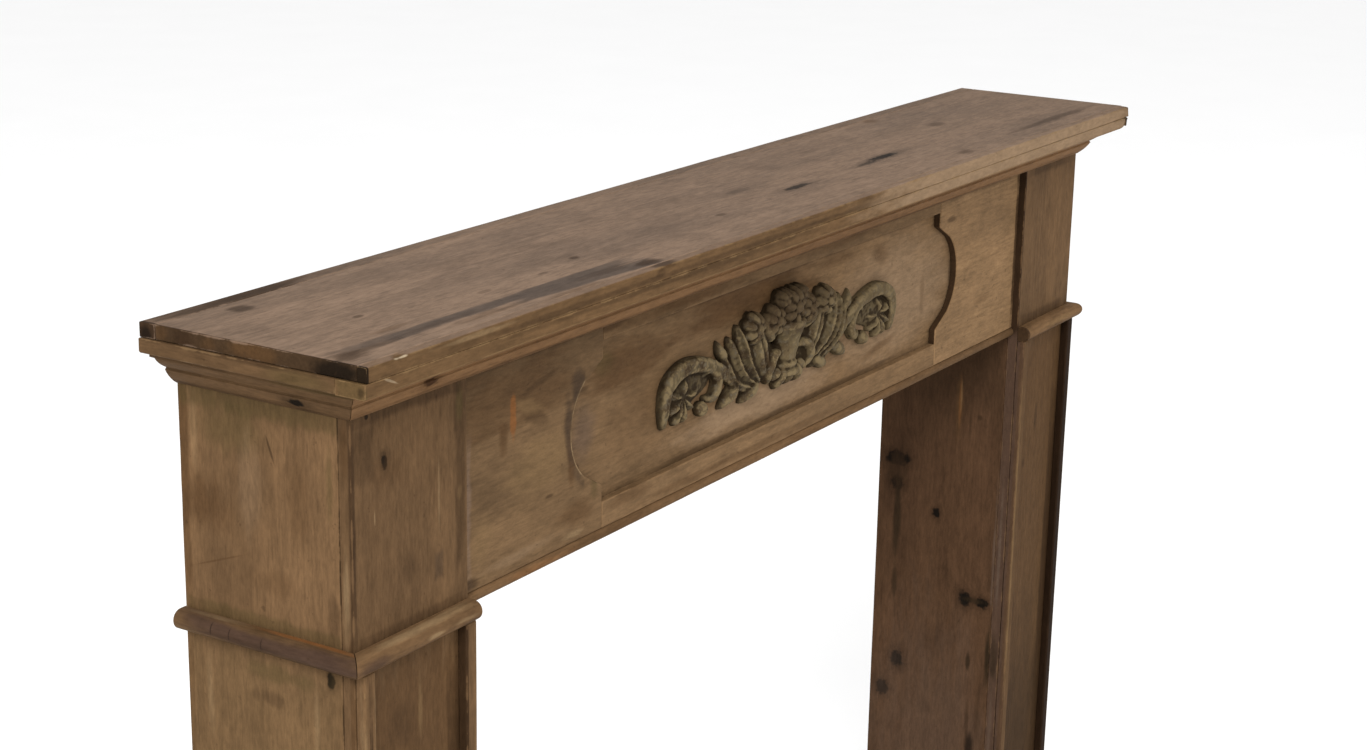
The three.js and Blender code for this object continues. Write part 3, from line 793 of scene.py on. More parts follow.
LEGS = [
    Board(
        "leg_left_front_board", "pine_face", 2, "face_tone", 0.92, 1.0, 8.0,
        marks=(
            Mark((-633, -66, 410), (90, 5, 416), "brown", 0.62, 0.1, 0.15, 1.0),
            # dirt and painted shade on the field beside the right strip
            Mark((-580, -66, 410), (10, 6, 416), "umber", 0.8, 0.6, 0.2, 1.0),
            Mark((-650, -66, 764), (26, 6, 26), "bistre", 0.4, 1.0, 0.5),
            Mark((-625, -66, 770), (4, 6, 40), "tan", 0.4, 0.9, 0.5),
            Mark((-695, -66, 1005), (15, 6, 24), "bistre", 0.4, 0.4, 0.3, 1.0),
            Mark((-660, -66, 985), (24, 6, 22), "brown", 0.35, 1.0, 0.5),
            Mark((-640, -66, 897), (20, 6, 18), "bistre", 0.4, 1.0, 0.5),
            Mark((-598, -66, 886), (7, 6, 15), "dun", 0.6, 0.6, 0.3, 1.0),
            Mark((-567, -66, 950), (10, 6, 112), "bistre", 0.6, 0.8, 0.45, 1.0),
            Mark((-568, -66, 1020), (6, 6, 20), "olive", 0.6, 0.9, 0.4),
            Mark((-569, -66, 943), (4, 6, 8), "tan", 0.25, 0.9, 0.4),
            Mark((-680, -66, 951), (0.9, 6, 8), "bare", 0.4, 0.7, 0.3),
            Mark((-597, -66, 947), (1.6, 6, 34), "bare", 0.22, 0.9, 0.4),
            Mark((-633, -66, 848), (90, 6, 7), "umber", 0.4, 0.9, 0.4, 1.0),
            # painted shade under the crown
            Mark((-633, -66, 1038), (90, 6, 9), "umber", 0.6, 0.9, 0.4, 1.0),
            Mark((-688, -66, 1038), (3, 4, 3), "soot", 0.8),
            Mark((-707, -66, 950), (4, 4, 125), "umber", 0.75, 0.7, 0.4, 1.0),
            Mark((-708.5, -59, 895), (3, 5, 48), "bare", 0.32, 0.9, 0.5),
            Mark((-708.5, -59, 1015), (3, 6, 34), "brown", 0.6, 0.9, 0.4),
            Mark((-708.5, -53.4, 545), (3, 0.5, 600), "grime", 0.7, 0.4, 0.0, 1.0),
        ),
        knots=(Knot((-667, -66, 996), (5, 6, 8), 0.95),),
    ),
    Board(
        "leg_left_outer_board", "pine_face", 2, "face_tone", 1.18, 1.0, 8.0,
        marks=(
            Mark((-708.5, 20, 410), (6, 140, 416), "olive", 0.25, 0.1, 0.1, 1.0),
            Mark((-708.5, 18, 1001), (6, 1.5, 14), "bistre", 0.75, 0.7, 0.2, 0.0, 20.0, 0),
            Mark((-708.5, 80, 893), (6, 40, 1.1), "brown", 0.6, 0.8, 0.3, 0.0, 20.0, 0),
            Mark((-708.5, 92, 940), (6, 42, 32), "brown", 0.75, 1.0, 0.45),
            Mark((-708.5, 112, 960), (6, 7, 120), "brown", 0.75, 0.7, 0.4, 1.0),
            Mark((-708.5, 100, 1003), (6, 5, 40), "bare", 0.14, 0.9, 0.5),
            # painted shade under the crown
            Mark((-708.5, 30, 1035), (6, 140, 14), "olive", 0.6, 0.9, 0.5, 1.0),
            Mark((-708.5, 60, 1012), (6, 46, 26), "olive", 0.5, 1.0, 0.5),
            Mark((-708.5, -12, 958), (6, 16, 44), "brown", 0.35, 1.0, 0.5),
            Mark((-708.5, 14, 886), (6, 34, 14), "brown", 0.35, 1.0, 0.5),
            Mark((-708.5, 40, 960), (6, 20, 50), "sand", 0.22, 1.0, 0.5),
            Mark((-708.5, -44, 985), (6, 5, 40), "olive", 0.5, 0.9, 0.5),
            Mark((-708.5, 20, 849), (6, 140, 8), "olive", 0.5, 0.9, 0.5, 1.0),
            Mark((-708.5, -45, 870), (6, 8, 26), "umber", 0.4, 0.9, 0.5),
            Mark((-708.5, -52.6, 545), (6, 0.5, 600), "grime", 0.7, 0.4, 0.0, 1.0),
            Mark((-708.5, 24, 783), (6, 24, 8), "umber", 0.4, 1.0, 0.5),
            Mark((-708.5, 10, 806), (6, 50, 10), "olive", 0.5, 0.9, 0.5),
            Mark((-708.5, 92, 772), (6, 6, 50), "bare", 0.2, 1.0, 0.5),
            Mark((-708.5, -25, 775), (6, 5, 40), "bare", 0.2, 1.0, 0.5),
            Mark((-708.5, 114, 410), (6, 4, 420), "brown", 0.8, 0.5, 0.3, 1.0),
            Mark((-708.5, -47, 410), (6, 9, 416), "brown", 0.55, 0.9, 0.4, 1.0),
        ),
        knots=(Knot((-708.5, -41, 815), (6, 5, 9), 0.95),),
    ),
    Board("leg_left_inner_board", "pine_dark", 2, "dark_tone", 1.0, 1.0, 8.0),
    Board(
        "leg_right_front_board", "pine_face", 2, "face_tone", 0.95, 1.0, 8.0,
        marks=(
            Mark((633, -66, 410), (90, 5, 416), "brown", 0.7, 0.1, 0.1, 1.0),
            Mark((630, -66, 709), (6, 6, 26), "umber", 0.55, 0.9, 0.4),
            Mark((600, -66, 657), (6, 6, 9), "umber", 0.5, 0.9, 0.4),
            Mark((595, -66, 450), (2, 6, 50), "umber", 0.5, 0.9, 0.3),
            Mark((648, -66, 277), (6, 6, 12), "umber", 0.6, 0.9, 0.3),
            # dirt and painted shade on the field beside the right strip
            Mark((686, -66, 410), (12, 7, 416), "umber", 0.8, 0.7, 0.2, 1.0),
            Mark((633, -66, 850), (90, 6, 9), "umber", 0.5, 0.9, 0.4, 1.0),
            # painted shade under the crown
            Mark((633, -66, 1037), (90, 6, 8), "umber", 0.5, 0.9, 0.4, 1.0),
            Mark((633, -66, 180), (90, 6, 320), "bistre", 0.85, 0.9, 0.3, 0.5),
            Mark((558.5, -60, 545), (2.2, 30, 1200), "plum", 0.9, 0.2, 0.05, 1.0),
            Mark((558.5, -60, 950), (2.6, 30, 116), "umber", 0.95, 0.1, 0.05, 1.0),
            Mark((558.5, -59, 555), (4, 3, 95), "ash", 0.8, 0.9, 0.4),
            Mark((558.5, -59, 400), (4, 8, 50), "grime", 0.7, 0.8, 0.4),
            Mark((558.5, -59, 300), (4, 4, 100), "ash", 0.5, 0.9, 0.5),
        ),
    ),
    Board("leg_right_outer_board", "pine_face", 2, "face_tone", 0.95, 1.0, 8.0),
    Board(
        "leg_right_inner_board", "pine_dark", 2, "dark_tone", 0.88, 1.0, 8.0,
        marks=(
            Mark((558.5, 30, 250), (6, 120, 260), "ash", 0.35, 1.0, 0.4),
            Mark((558.5, 20, 800), (6, 130, 110), "umber", 0.7, 1.0, 0.4),
            Mark((558.5, 7, 728), (6, 7, 60), "brown", 0.6, 0.9, 0.4),
            Mark((558.5, 6, 735), (6, 3, 46), "rust", 0.35, 1.0, 0.35),
            Mark((558.5, 5, 745), (6, 2, 30), "tan", 0.35, 1.0, 0.35),
            Mark((558.5, -22, 720), (6, 4, 5), "umber", 0.8, 0.8, 0.4),
            Mark((558.5, 88, 560), (6, 7, 75), "grime", 0.8, 0.8, 0.4),
            Mark((558.5, 88, 480), (6, 5, 30), "grime", 0.7, 0.9, 0.4),
            Mark((558.5, 90, 630), (6, 20, 34), "umber", 0.6, 0.9, 0.5),
            Mark((558.5, 76, 647), (6, 6, 6), "soot", 0.7, 0.8, 0.5),
            Mark((558.5, 104, 642), (6, 6, 6), "soot", 0.7, 0.8, 0.5),
            Mark((558.5, -28, 475), (6, 22, 5), "grime", 0.7, 0.9, 0.5),
            Mark((558.5, -51, 400), (6, 7, 56), "grime", 0.9, 0.7, 0.4),
            Mark((558.5, -40, 330), (6, 6, 60), "umber", 0.45, 0.9, 0.4),
            Mark((558.5, -23, 390), (6, 4, 14), "grime", 0.8, 0.8, 0.4),
            Mark((558.5, -52, 552), (6, 3, 88), "ash", 0.7, 0.9, 0.5),
            Mark((558.5, -30, 272), (6, 9, 26), "soot", 0.8, 0.8, 0.4),
            Mark((558.5, -26, 310), (6, 4, 40), "umber", 0.5, 0.9, 0.4),
        ),
        knots=(
            Knot((558.5, 90, 646), (8, 18, 12), 1.0),
            Knot((558.5, 90, 613), (8, 11, 11), 1.0),
            Knot((558.5, 32, 582), (8, 6, 8), 1.0),
            Knot((558.5, -14, 475), (8, 10, 12), 1.0),
            Knot((558.5, -39, 474), (8, 11, 8), 1.0),
            Knot((558.5, 79, 370), (8, 11, 14), 1.0),
            Knot((558.5, 99, 325), (8, 12, 13), 0.9),
        ),
    ),
    Board(
        "leg_left_edge_strip_left", "pine_edge", 2, "edge_tone", 1.1, 1.6, 6.0, True,
        marks=(
            Mark((-701, -76, 470), (2.4, 3, 400), "umber", 0.9, 0.7, 0.5, 1.0),
            Mark((-694.5, -75, 470), (2.4, 4, 400), "bare", 0.42, 0.8, 0.7, 1.0),
            Mark((-707.5, -75, 470), (2.2, 4, 400), "bare", 0.2, 0.8, 0.6, 1.0),
        ),
    ),
    Board(
        "leg_left_edge_strip_right", "pine_edge", 2, "edge_tone", 1.1, 1.6, 6.0,
        marks=(
            # dirt and painted shade on the strip's left-facing side
            Mark((-573.5, -71, 470), (2.4, 30, 900), "umber", 0.9, 0.2, 0.2, 1.0),
            Mark((-560, -75, 470), (3, 5, 400), "tan", 0.45, 0.8, 0.5, 1.0),
        ),
    ),
    Board(
        "leg_right_edge_strip_left", "pine_edge", 2, "edge_tone", 0.95, 1.6, 6.0,
        marks=(
            Mark((558.5, -71, 470), (2.0, 30, 900), "plum", 0.9, 0.2, 0.05, 1.0),
            Mark((566, -76, 470), (12, 6, 420), "brown", 0.4, 0.3, 0.3, 1.0),
            Mark((561, -76, 560), (2.4, 3, 240), "tan", 0.55, 0.8, 0.4, 1.0),
        ),
    ),
    Board(
        "leg_right_edge_strip_right", "pine_edge", 2, "dark_tone", 0.3, 1.2, 6.0,
        marks=(Mark((706, -76, 470), (3, 4, 400), "brown", 0.35, 0.8, 0.5, 1.0),),
    ),
]

ASTRAGALS = [
    Board(
        "astragal_left_front", "pine_edge", 0, "edge_tone", 1.2, 0.5, 4.0,
        marks=(
            Mark((-700, -82, 835), (30, 12, 9), "plum", 0.7, 0.9, 0.5),
            # painted shade on the astragal's underside
            Mark((-633, -80, 829), (90, 12, 3), "umber", 0.5, 0.9, 0.4, 1.0),
            Mark((-640, -74, 845), (90, 6, 3), "bare", 0.45, 0.9, 0.5, 1.0),
            Mark((-620, -82, 835), (14, 10, 3), "bare", 0.45, 0.9, 0.6),
            Mark((-585, -82, 836), (22, 10, 3), "bare", 0.35, 0.9, 0.6),
        ),
    ),
    Board(
        "astragal_left_side", "pine_dark", 1, "edge_tone", 0.9, 0.5, 4.0,
        marks=(
            Mark((-722, 10, 838), (12, 120, 8), "plum", 0.95, 0.7, 0.4, 1.0),
            Mark((-724, 40, 834), (12, 60, 4), "umber", 0.4, 0.9, 0.5),
            Mark((-722, -60, 836), (12, 20, 9), "plum", 0.6, 0.9, 0.5),
            Mark((-711, -20, 845), (5, 70, 2.4), "rust", 0.7, 0.8, 0.4, 1.0),
            Mark((-722, 110, 830), (12, 30, 5), "tan", 0.35, 0.9, 0.5),
            # painted shade on the astragal's underside
            Mark((-720, 10, 827), (14, 130, 4), "umber", 0.7, 0.8, 0.4, 1.0),
            Mark((-714, 60, 846), (6, 70, 1.8), "bare", 0.4, 0.9, 0.6),
            Mark((-724, 75, 838), (10, 0.8, 7), "soot", 0.6, 0.6, 0.4),
            Mark((-724, 55, 838), (10, 0.8, 7), "soot", 0.5, 0.6, 0.4),
            Mark((-724, 20, 838), (10, 0.8, 7), "soot", 0.45, 0.6, 0.4),
        ),
    ),
    Board(
        "astragal_right_front", "pine_edge", 0, "edge_tone", 1.15, 0.5, 4.0,
        marks=(
            Mark((558.5, -74, 836), (4, 20, 20), "umber", 0.9, 0.3, 0.2, 1.0),
            Mark((650, -82, 838), (60, 10, 5), "tan", 0.5, 0.9, 0.5),
            # painted shade on the astragal's underside
            Mark((633, -80, 829), (90, 12, 3), "umber", 0.5, 0.9, 0.4, 1.0),
        ),
    ),
    Board("astragal_right_side", "pine_dark", 1, "edge_tone", 0.85, 0.5, 4.0),
]

PLINTHS = [
    Board("plinth_left_front", "pine_edge", 0, "edge_tone", 1.0, 1.2, 5.0),
    Board("plinth_left_side", "pine_edge", 1, "edge_tone", 1.0, 1.2, 5.0),
    Board("plinth_right_front", "pine_edge", 0, "edge_tone", 0.95, 1.2, 5.0),
    Board("plinth_right_side", "pine_edge", 1, "edge_tone", 0.95, 1.2, 5.0),
]

FRIEZE = [
    Board(
        "frieze_panel", "pine_face", 0, "frieze_tone", 0.95, 0.5, 12.0,
        marks=(
            Mark((250, -49, 945), (190, 6, 85), "sand", 0.65, 0.9, 0.3),
            Mark((-40, -49, 893), (190, 6, 24), "sand", 0.75, 0.8, 0.35),
            Mark((-275, -49, 930), (80, 6, 55), "brown", 0.3, 1.0, 0.4),
            # dirt and painted shadow of the raised end on the panel
            Mark((-362, -49, 940), (26, 6, 34), "ash", 0.65, 1.0, 0.3),
            Mark((-374, -49, 906), (6, 6, 7), "umber", 0.7, 0.9, 0.4),
            Mark((-364, -49, 980), (14, 6, 4), "umber", 0.6, 0.9, 0.4),
            Mark((-290, -49, 990), (80, 6, 30), "brown", 0.75, 0.8, 0.5, 0.5),
            Mark((-330, -49, 1000), (20, 6, 16), "olive", 0.5, 1.0, 0.5),
            Mark((-70, -49, 1006), (170, 6, 24), "brown", 0.85, 0.8, 0.4, 0.5),
            Mark((110, -49, 1012), (70, 6, 10), "brown", 0.5, 1.0, 0.5),
            Mark((218, -49, 892), (46, 6, 6), "brown", 0.6, 0.9, 0.5, 0.0, 8.0, 1),
            Mark((214, -49, 1000), (26, 6, 14), "brown", 0.5, 1.0, 0.5, 0.0, -30.0, 1),
            Mark((322, -49, 935), (7, 6, 28), "brown", 0.35, 1.0, 0.5),
            Mark((395, -49, 946), (7, 6, 60), "umber", 0.5, 0.9, 0.4),
            Mark((0, -49, 871), (360, 6, 4), "umber", 0.5, 0.9, 0.4, 1.0),
            # painted shade under the top rail
            Mark((0, -49, 1022), (360, 6, 4), "umber", 0.45, 0.9, 0.4, 1.0),
        ),
    ),
    Board(
        "frieze_end_left", "pine_face", 0, "frieze_tone", 0.82, 1.2, 10.0,
        marks=(
            Mark((-440, -58, 930), (60, 6, 34), "tan", 0.45, 0.9, 0.4),
            Mark((-550, -58, 915), (8, 6, 70), "grey", 0.6, 0.9, 0.4, 1.0),
            Mark((-530, -58, 880), (20, 6, 30), "tan", 0.35, 1.0, 0.5),
            Mark((-480, -58, 1008), (100, 6, 40), "brown", 0.55, 0.7, 0.5, 0.5),
            Mark((-462, -58, 990), (26, 6, 8), "tan", 0.45, 0.9, 0.5, 0.0, -20.0, 1),
            Mark((-440, -58, 1008), (36, 6, 5), "bistre", 0.5, 0.8, 0.5, 0.0, 12.0, 1),
            Mark((-444, -58, 973), (24, 6, 9), "bistre", 0.45, 0.8, 0.5, 0.0, -18.0, 1),
            Mark((-482, -58, 985), (5.5, 6, 27), "rust", 0.75, 0.6, 0.4),
            Mark((-496, -58, 968), (9, 6, 18), "brown", 0.7, 0.8, 0.4),
            Mark((-384, -58, 990), (12, 6, 22), "dun", 0.85, 0.9, 0.35),
            Mark((-398, -58, 962), (9, 6, 26), "dun", 0.85, 0.9, 0.35),
            Mark((-393, -58, 925), (8, 6, 34), "brown", 0.85, 0.8, 0.35),
            Mark((-382, -58, 872), (36, 6, 16), "brown", 0.6, 0.9, 0.5),
            Mark((-356, -58, 890), (10, 6, 20), "olive", 0.6, 0.9, 0.4),
            Mark((-390, -58, 851), (24, 6, 4), "bare", 0.35, 0.9, 0.6),
            Mark((-428, -58, 898), (7, 6, 2), "umber", 0.6, 0.8, 0.4),
            Mark((-545, -58, 850), (14, 6, 6), "umber", 0.6, 0.9, 0.5),
            Mark((-470, -58, 857), (80, 6, 6), "sand", 0.35, 0.9, 0.6),
            Mark((-557, -58, 940), (3, 6, 110), "umber", 0.6, 0.8, 0.5, 1.0),
            # painted shade under the crown
            Mark((-450, -58, 1040), (120, 6, 8), "umber", 0.45, 0.9, 0.4, 1.0),
        ),
        arcs=(
            Arc((-335.4, -58, 946.5), 62.5, -371.0, -1.0, 8.0, "dun", 0.7),
            Arc((-335.4, -58, 946.5), 58.2, -371.0, -1.0, 2.4, "bare", 0.75),
        ),
    ),
    Board(
        "frieze_end_right", "pine_face", 0, "frieze_tone", 1.32, 1.2, 10.0,
        marks=(
            # dirt and painted shade on the shaped end's left-facing edge
            Mark((366, -50.5, 946), (60, 6, 120), "umber", 0.95, 0.1, 0.0, 1.0),
            Mark((372, -58, 1012), (16, 5, 5), "umber", 0.6, 0.8, 0.4),
            # painted shade in the recess against the right block
            Mark((556, -58, 940), (6, 6, 115), "umber", 0.85, 0.7, 0.3, 1.0),
            # painted shade under the crown
            Mark((450, -58, 1040), (120, 6, 8), "umber", 0.4, 0.9, 0.4, 1.0),
            Mark((470, -58, 900), (30, 6, 8), "brown", 0.35, 1.0, 0.5),
        ),
    ),
    Board(
        "frieze_top_rail", "pine_face", 0, "frieze_tone", 0.82, 1.0, 8.0,
        marks=(
            Mark((-330, -58, 1036), (30, 6, 6), "umber", 0.7, 0.8, 0.5),
            Mark((-200, -58, 1032), (150, 6, 8), "brown", 0.8, 0.9, 0.5, 0.5),
            Mark((120, -58, 1034), (120, 6, 6), "brown", 0.6, 1.0, 0.5),
            # painted shade under the crown
            Mark((0, -58, 1041), (360, 6, 5), "umber", 0.45, 0.9, 0.4, 1.0),
        ),
    ),
    Board(
        "frieze_bottom_rail", "pine_face", 0, "frieze_tone", 0.98, 1.0, 8.0,
        marks=(
            Mark((-100, -58, 850), (260, 6, 5), "brown", 0.5, 1.0, 0.5),
            Mark((-300, -58, 862), (60, 6, 8), "brown", 0.5, 1.0, 0.5),
        ),
    ),
    Board(
        "frieze_bead", "pine_edge", 0, "edge_tone", 1.1, 0.4, 5.0,
        marks=(
            Mark((-330, -60, 838), (120, 6, 5), "brown", 0.6, 0.9, 0.5),
            Mark((60, -60, 836), (90, 6, 5), "brown", 0.5, 0.9, 0.5),
            Mark((-450, -61, 838), (60, 6, 4), "rust", 0.3, 0.9, 0.5),
        ),
    ),
]


# Carved ornament: places on the panel in mm, u to the right, v up from the middle, w out of the panel

ORNAMENT_MIDDLE = 950.0
PANEL_FACE = -49.3
# Hollows are read against the carving smoothed this often, over this depth in metres.
GRIME_AND_SHADE_ROUNDS = 24
GRIME_AND_SHADE_REACH = 0.001
# Dirt and painted shade climb the carving's walls to this height over the panel, and fade over this, in
# metres.
GRIME_AND_SHADE_HEIGHT = 0.009
GRIME_AND_SHADE_FADE = 0.006


def along_path(points, t):
    """A smooth curve through the points (Catmull-Rom) at t from 0 to 1: place and direction."""
    spans = len(points) - 1
    step = min(int(t * spans), spans - 1)
    local = t * spans - step
    p1, p2 = Vector(points[step]), Vector(points[step + 1])
    p0 = Vector(points[step - 1]) if step else p1 * 2.0 - p2
    p3 = Vector(points[step + 2]) if step + 2 <= spans else p2 * 2.0 - p1
    a = (p3 - p0) + (p1 - p2) * 3.0
    b = p0 * 2.0 - p1 * 5.0 + p2 * 4.0 - p3
    c = p2 - p0
    place = p1 + (c * local + b * local ** 2 + a * local ** 3) * 0.5
    way = (c + b * (2.0 * local) + a * (3.0 * local ** 2)) * 0.5
    return place, way.normalized()


def on_panel(u, v, w):
    """A point of the carving in the row frame, in metres."""
    return Vector((u * MM, (PANEL_FACE - w) * MM, (ORNAMENT_MIDDLE + v) * MM))


def lobe(shape, sign, path, widths, rises, blunt=0.55, square=1.0, ribs=0, groove=0.0, around=22, rings=26):
    """A leaf, stem or petal: a sphere drawn out along a path, with its width, rise, section and ribs."""
    made = bmesh.ops.create_uvsphere(shape, u_segments=around, v_segments=rings, radius=1.0)
    for vert in made["verts"]:
        t = 1.0 - math.acos(max(-1.0, min(1.0, vert.co.z))) / math.pi
        ring = math.hypot(vert.co.x, vert.co.y)
        side, out = (vert.co.x / ring, vert.co.y / ring) if ring > 1e-6 else (0.0, 0.0)
        side = math.copysign(abs(side) ** square, side)
        out = math.copysign(abs(out) ** square, out)
        ring = ring ** blunt
        place, way = along_path(path, t)
        width = 0.5 * (widths[0] + (widths[1] - widths[0]) * t)
        rise = rises[0] + (rises[1] - rises[0]) * t
        if ribs and out > 0.0:
            rise *= 1.0 - groove * abs(math.sin(math.pi * ribs * 0.5 * (side + 1.0))) ** 0.6 * out
        across = side * ring * width
        u = place.x - way.y * across
        v = place.y + way.x * across
        vert.co = on_panel(sign * u, v, out * ring * rise)


def bead(shape, sign, u, v, w, radius, rise=1.0):
    """A berry or bead."""
    made = bmesh.ops.create_uvsphere(shape, u_segments=14, v_segments=10, radius=1.0)
    for vert in made["verts"]:
        x, y, z = vert.co
        vert.co = on_panel(sign * u + x * radius, v + z * radius, w + y * radius * rise)


def flower(shape, sign, u, v, radius, rise, petals, turn=0.0):
    """A flower: broad petals about a raised eye."""
    for k in range(petals):
        angle = turn + 2.0 * math.pi * k / petals
        du, dv = math.cos(angle), math.sin(angle)
        path = [(u + du * radius * reach, v + dv * radius * reach) for reach in (0.05, 0.55, 1.0)]
        width = 1.9 * radius * math.sin(math.pi / petals)
        lobe(shape, sign, path, (width * 0.7, width), (rise * 0.95, rise * 0.8), 0.45, around=16, rings=16)
    bead(shape, sign, u, v, rise * 0.72, radius * 0.3, 1.0)


def urn(shape):
    """The vase: a turned body flattened towards the panel, with a banded foot and a rolled rim."""
    profile = [
        (0.0, -37.0), (21.0, -37.0), (22.0, -33.0), (18.5, -30.5), (16.0, -29.0), (19.0, -27.0),
        (19.0, -24.5), (16.0, -22.5), (18.0, -14.0), (21.0, -2.0), (24.5, 8.0), (27.0, 13.0),
        (28.5, 15.0), (28.5, 18.5), (26.0, 20.5), (0.0, 20.5),
    ]
    verts = [shape.verts.new((r, 0.0, z)) for r, z in profile]
    edges = [shape.edges.new(pair) for pair in zip(verts, verts[1:])]
    bmesh.ops.spin(
        shape,
        geom=verts + edges,
        cent=(0.0, 0.0, 0.0),
        axis=(0.0, 0.0, 1.0),
        angle=2.0 * math.pi,
        steps=40,
        use_merge=True,
    )
    bmesh.ops.remove_doubles(shape, verts=shape.verts[:], dist=0.01)
    for vert in shape.verts:
        x, y, z = vert.co
        vert.co = on_panel(x, z, -y * 0.8)
    bmesh.ops.recalc_face_normals(shape, faces=shape.faces[:])


def carved_side(shape, sign):
    """One half of the scrollwork: plume, hooded scroll, drops, curls and flowers."""
    # low ground between vase and plume
    lobe(shape, sign, [(10, -28), (60, -8), (112, 4)], (46, 52), (7, 7), 0.4)
    # broad ribbed leaf beside the vase, and a flower on its tip
    leaf = [(38, -38), (50, -14), (60, 8), (70, 34)]
    lobe(shape, sign, leaf, (20, 36), (13, 19), 0.42, 0.85, ribs=3, groove=0.3, around=32, rings=30)
    flower(shape, sign, 73, 27, 18, 20, 7, 0.4)
    # fronds spreading outwards
    fronds = (
        ([(48, -38), (82, -8), (100, 36)], (10, 20), (12, 19), 0.32),
        ([(50, -40), (94, -14), (116, 27)], (10, 19), (11, 17), 0.32),
        ([(52, -41), (104, -22), (129, 15)], (10, 17), (10, 14), 0.3),
    )
    for path, widths, rises, groove in fronds:
        lobe(shape, sign, path, widths, rises, 0.42, ribs=2, groove=groove, around=28, rings=28)
    lobe(shape, sign, [(116, 2), (130, 14), (136, 27)], (15, 10), (10, 9), 0.6)
    # hooded scroll: a broad flat band with a steep outer wall
    hood = [(52, -44), (98, -27), (130, -5), (162, 9), (198, 14), (226, 4), (234, -16), (233, -42)]
    lobe(shape, sign, hood, (13, 19), (10, 13), 0.3, 0.55, around=24, rings=64)
    # leafy filling of the scroll
    lobe(shape, sign, [(146, -8), (190, -10), (230, -24)], (26, 48), (6, 7), 0.4)
    for tip in ((224, -6), (226, -28), (214, -42), (196, -42), (180, -30), (172, -12), (196, 4)):
        middle = (0.45 * 200 + 0.55 * tip[0] + 3.0, 0.45 * -14 + 0.55 * tip[1] - 2.0)
        path = [(200, -14), middle, tip]
        lobe(shape, sign, path, (8, 13), (12, 11), 0.5, ribs=2, groove=0.3, around=16, rings=18)
    # curl with an open eye, and the berry under it
    curl = [(170, -4), (152, 2), (138, -12), (146, -28), (162, -26)]
    lobe(shape, sign, curl, (11, 12), (12, 11), 0.4, 0.8, around=16, rings=40)
    bead(shape, sign, 167, -35, 3.0, 8.0, 1.2)
    # drops below
    lobe(shape, sign, [(54, -32), (72, -40), (92, -48)], (17, 14), (13, 9), 0.6)
    lobe(shape, sign, [(94, -24), (112, -34), (132, -45)], (17, 15), (13, 10), 0.6)
    # curl and leaves at the vase's foot
    handle = [(14, -10), (34, -10), (43, -25), (36, -41)]
    lobe(shape, sign, handle, (12, 13), (18, 14), 0.4, 0.85, around=18, rings=32)
    lobe(shape, sign, [(14, -30), (26, -32), (30, -40)], (13, 13), (14, 13), 0.6)
    lobe(shape, sign, [(6, -26), (18, -38), (20, -51)], (15, 15), (18, 12), 0.6)
    # leaf and flowers over the rim
    lobe(shape, sign, [(24, 6), (44, 16), (54, 34)], (20, 15), (14, 16), 0.6)
    flower(shape, sign, 34, 27, 18, 21, 6, 0.3)
    flower(shape, sign, 17, 45, 12, 21, 5, 0.9)


def fused(name, shape, voxel):
    """The carving melted into one skin and eased, as a mesh."""
    mesh = bpy.data.meshes.new(name)
    shape.to_mesh(mesh)
    shape.free()
    lump = bpy.data.objects.new(name, mesh)
    bpy.context.scene.collection.objects.link(lump)
    skin = lump.modifiers.new("skin", "REMESH")
    skin.mode = "VOXEL"
    skin.voxel_size = voxel
    ease = lump.modifiers.new("ease", "SMOOTH")
    ease.factor = 0.5
    ease.iterations = 2
    result = bpy.data.meshes.new_from_object(lump.evaluated_get(bpy.context.evaluated_depsgraph_get()))
    bpy.data.objects.remove(lump)
    bpy.data.meshes.remove(mesh)
    return result


def flatten_back(mesh):
    """Cuts the carving off flat where it lies on the panel and closes its back."""
    shape = bmesh.new()
    shape.from_mesh(mesh)
    cut = bmesh.ops.bisect_plane(
        shape,
        geom=shape.verts[:] + shape.edges[:] + shape.faces[:],
        dist=1e-6,
        plane_co=(0.0, PANEL_FACE * MM, 0.0),
        plane_no=(0.0, 1.0, 0.0),
        clear_outer=True,
    )
    rim = [part for part in cut["geom_cut"] if isinstance(part, bmesh.types.BMEdge)]
    bmesh.ops.holes_fill(shape, edges=rim, sides=0)
    bmesh.ops.triangulate(shape, faces=[face for face in shape.faces if len(face.verts) > 4])
    shape.to_mesh(mesh)
    shape.free()


def point_rows(mesh, field):
    """The places or normals of a mesh's points, one row each."""
    values = np.empty(len(mesh.vertices) * 3)
    mesh.vertices.foreach_get(field, values)
    return values.reshape(-1, 3)


def roughen(mesh, depth):
    """Makes the carved skin a little knobbly, fading out at the panel."""
    place = point_rows(mesh, "co")
    out = np.clip((PANEL_FACE * MM - place[:, 1]) / (4.0 * MM), 0.0, 1.0)
    points = [Vector(row) for row in place]
    knobs = np.array([0.7 * noise.noise(p * 120.0) + 0.5 * noise.noise(p * 310.0) for p in points])
    place += point_rows(mesh, "normal") * (depth * knobs * out)[:, None]
    mesh.vertices.foreach_set("co", place.ravel())
    mesh.update()


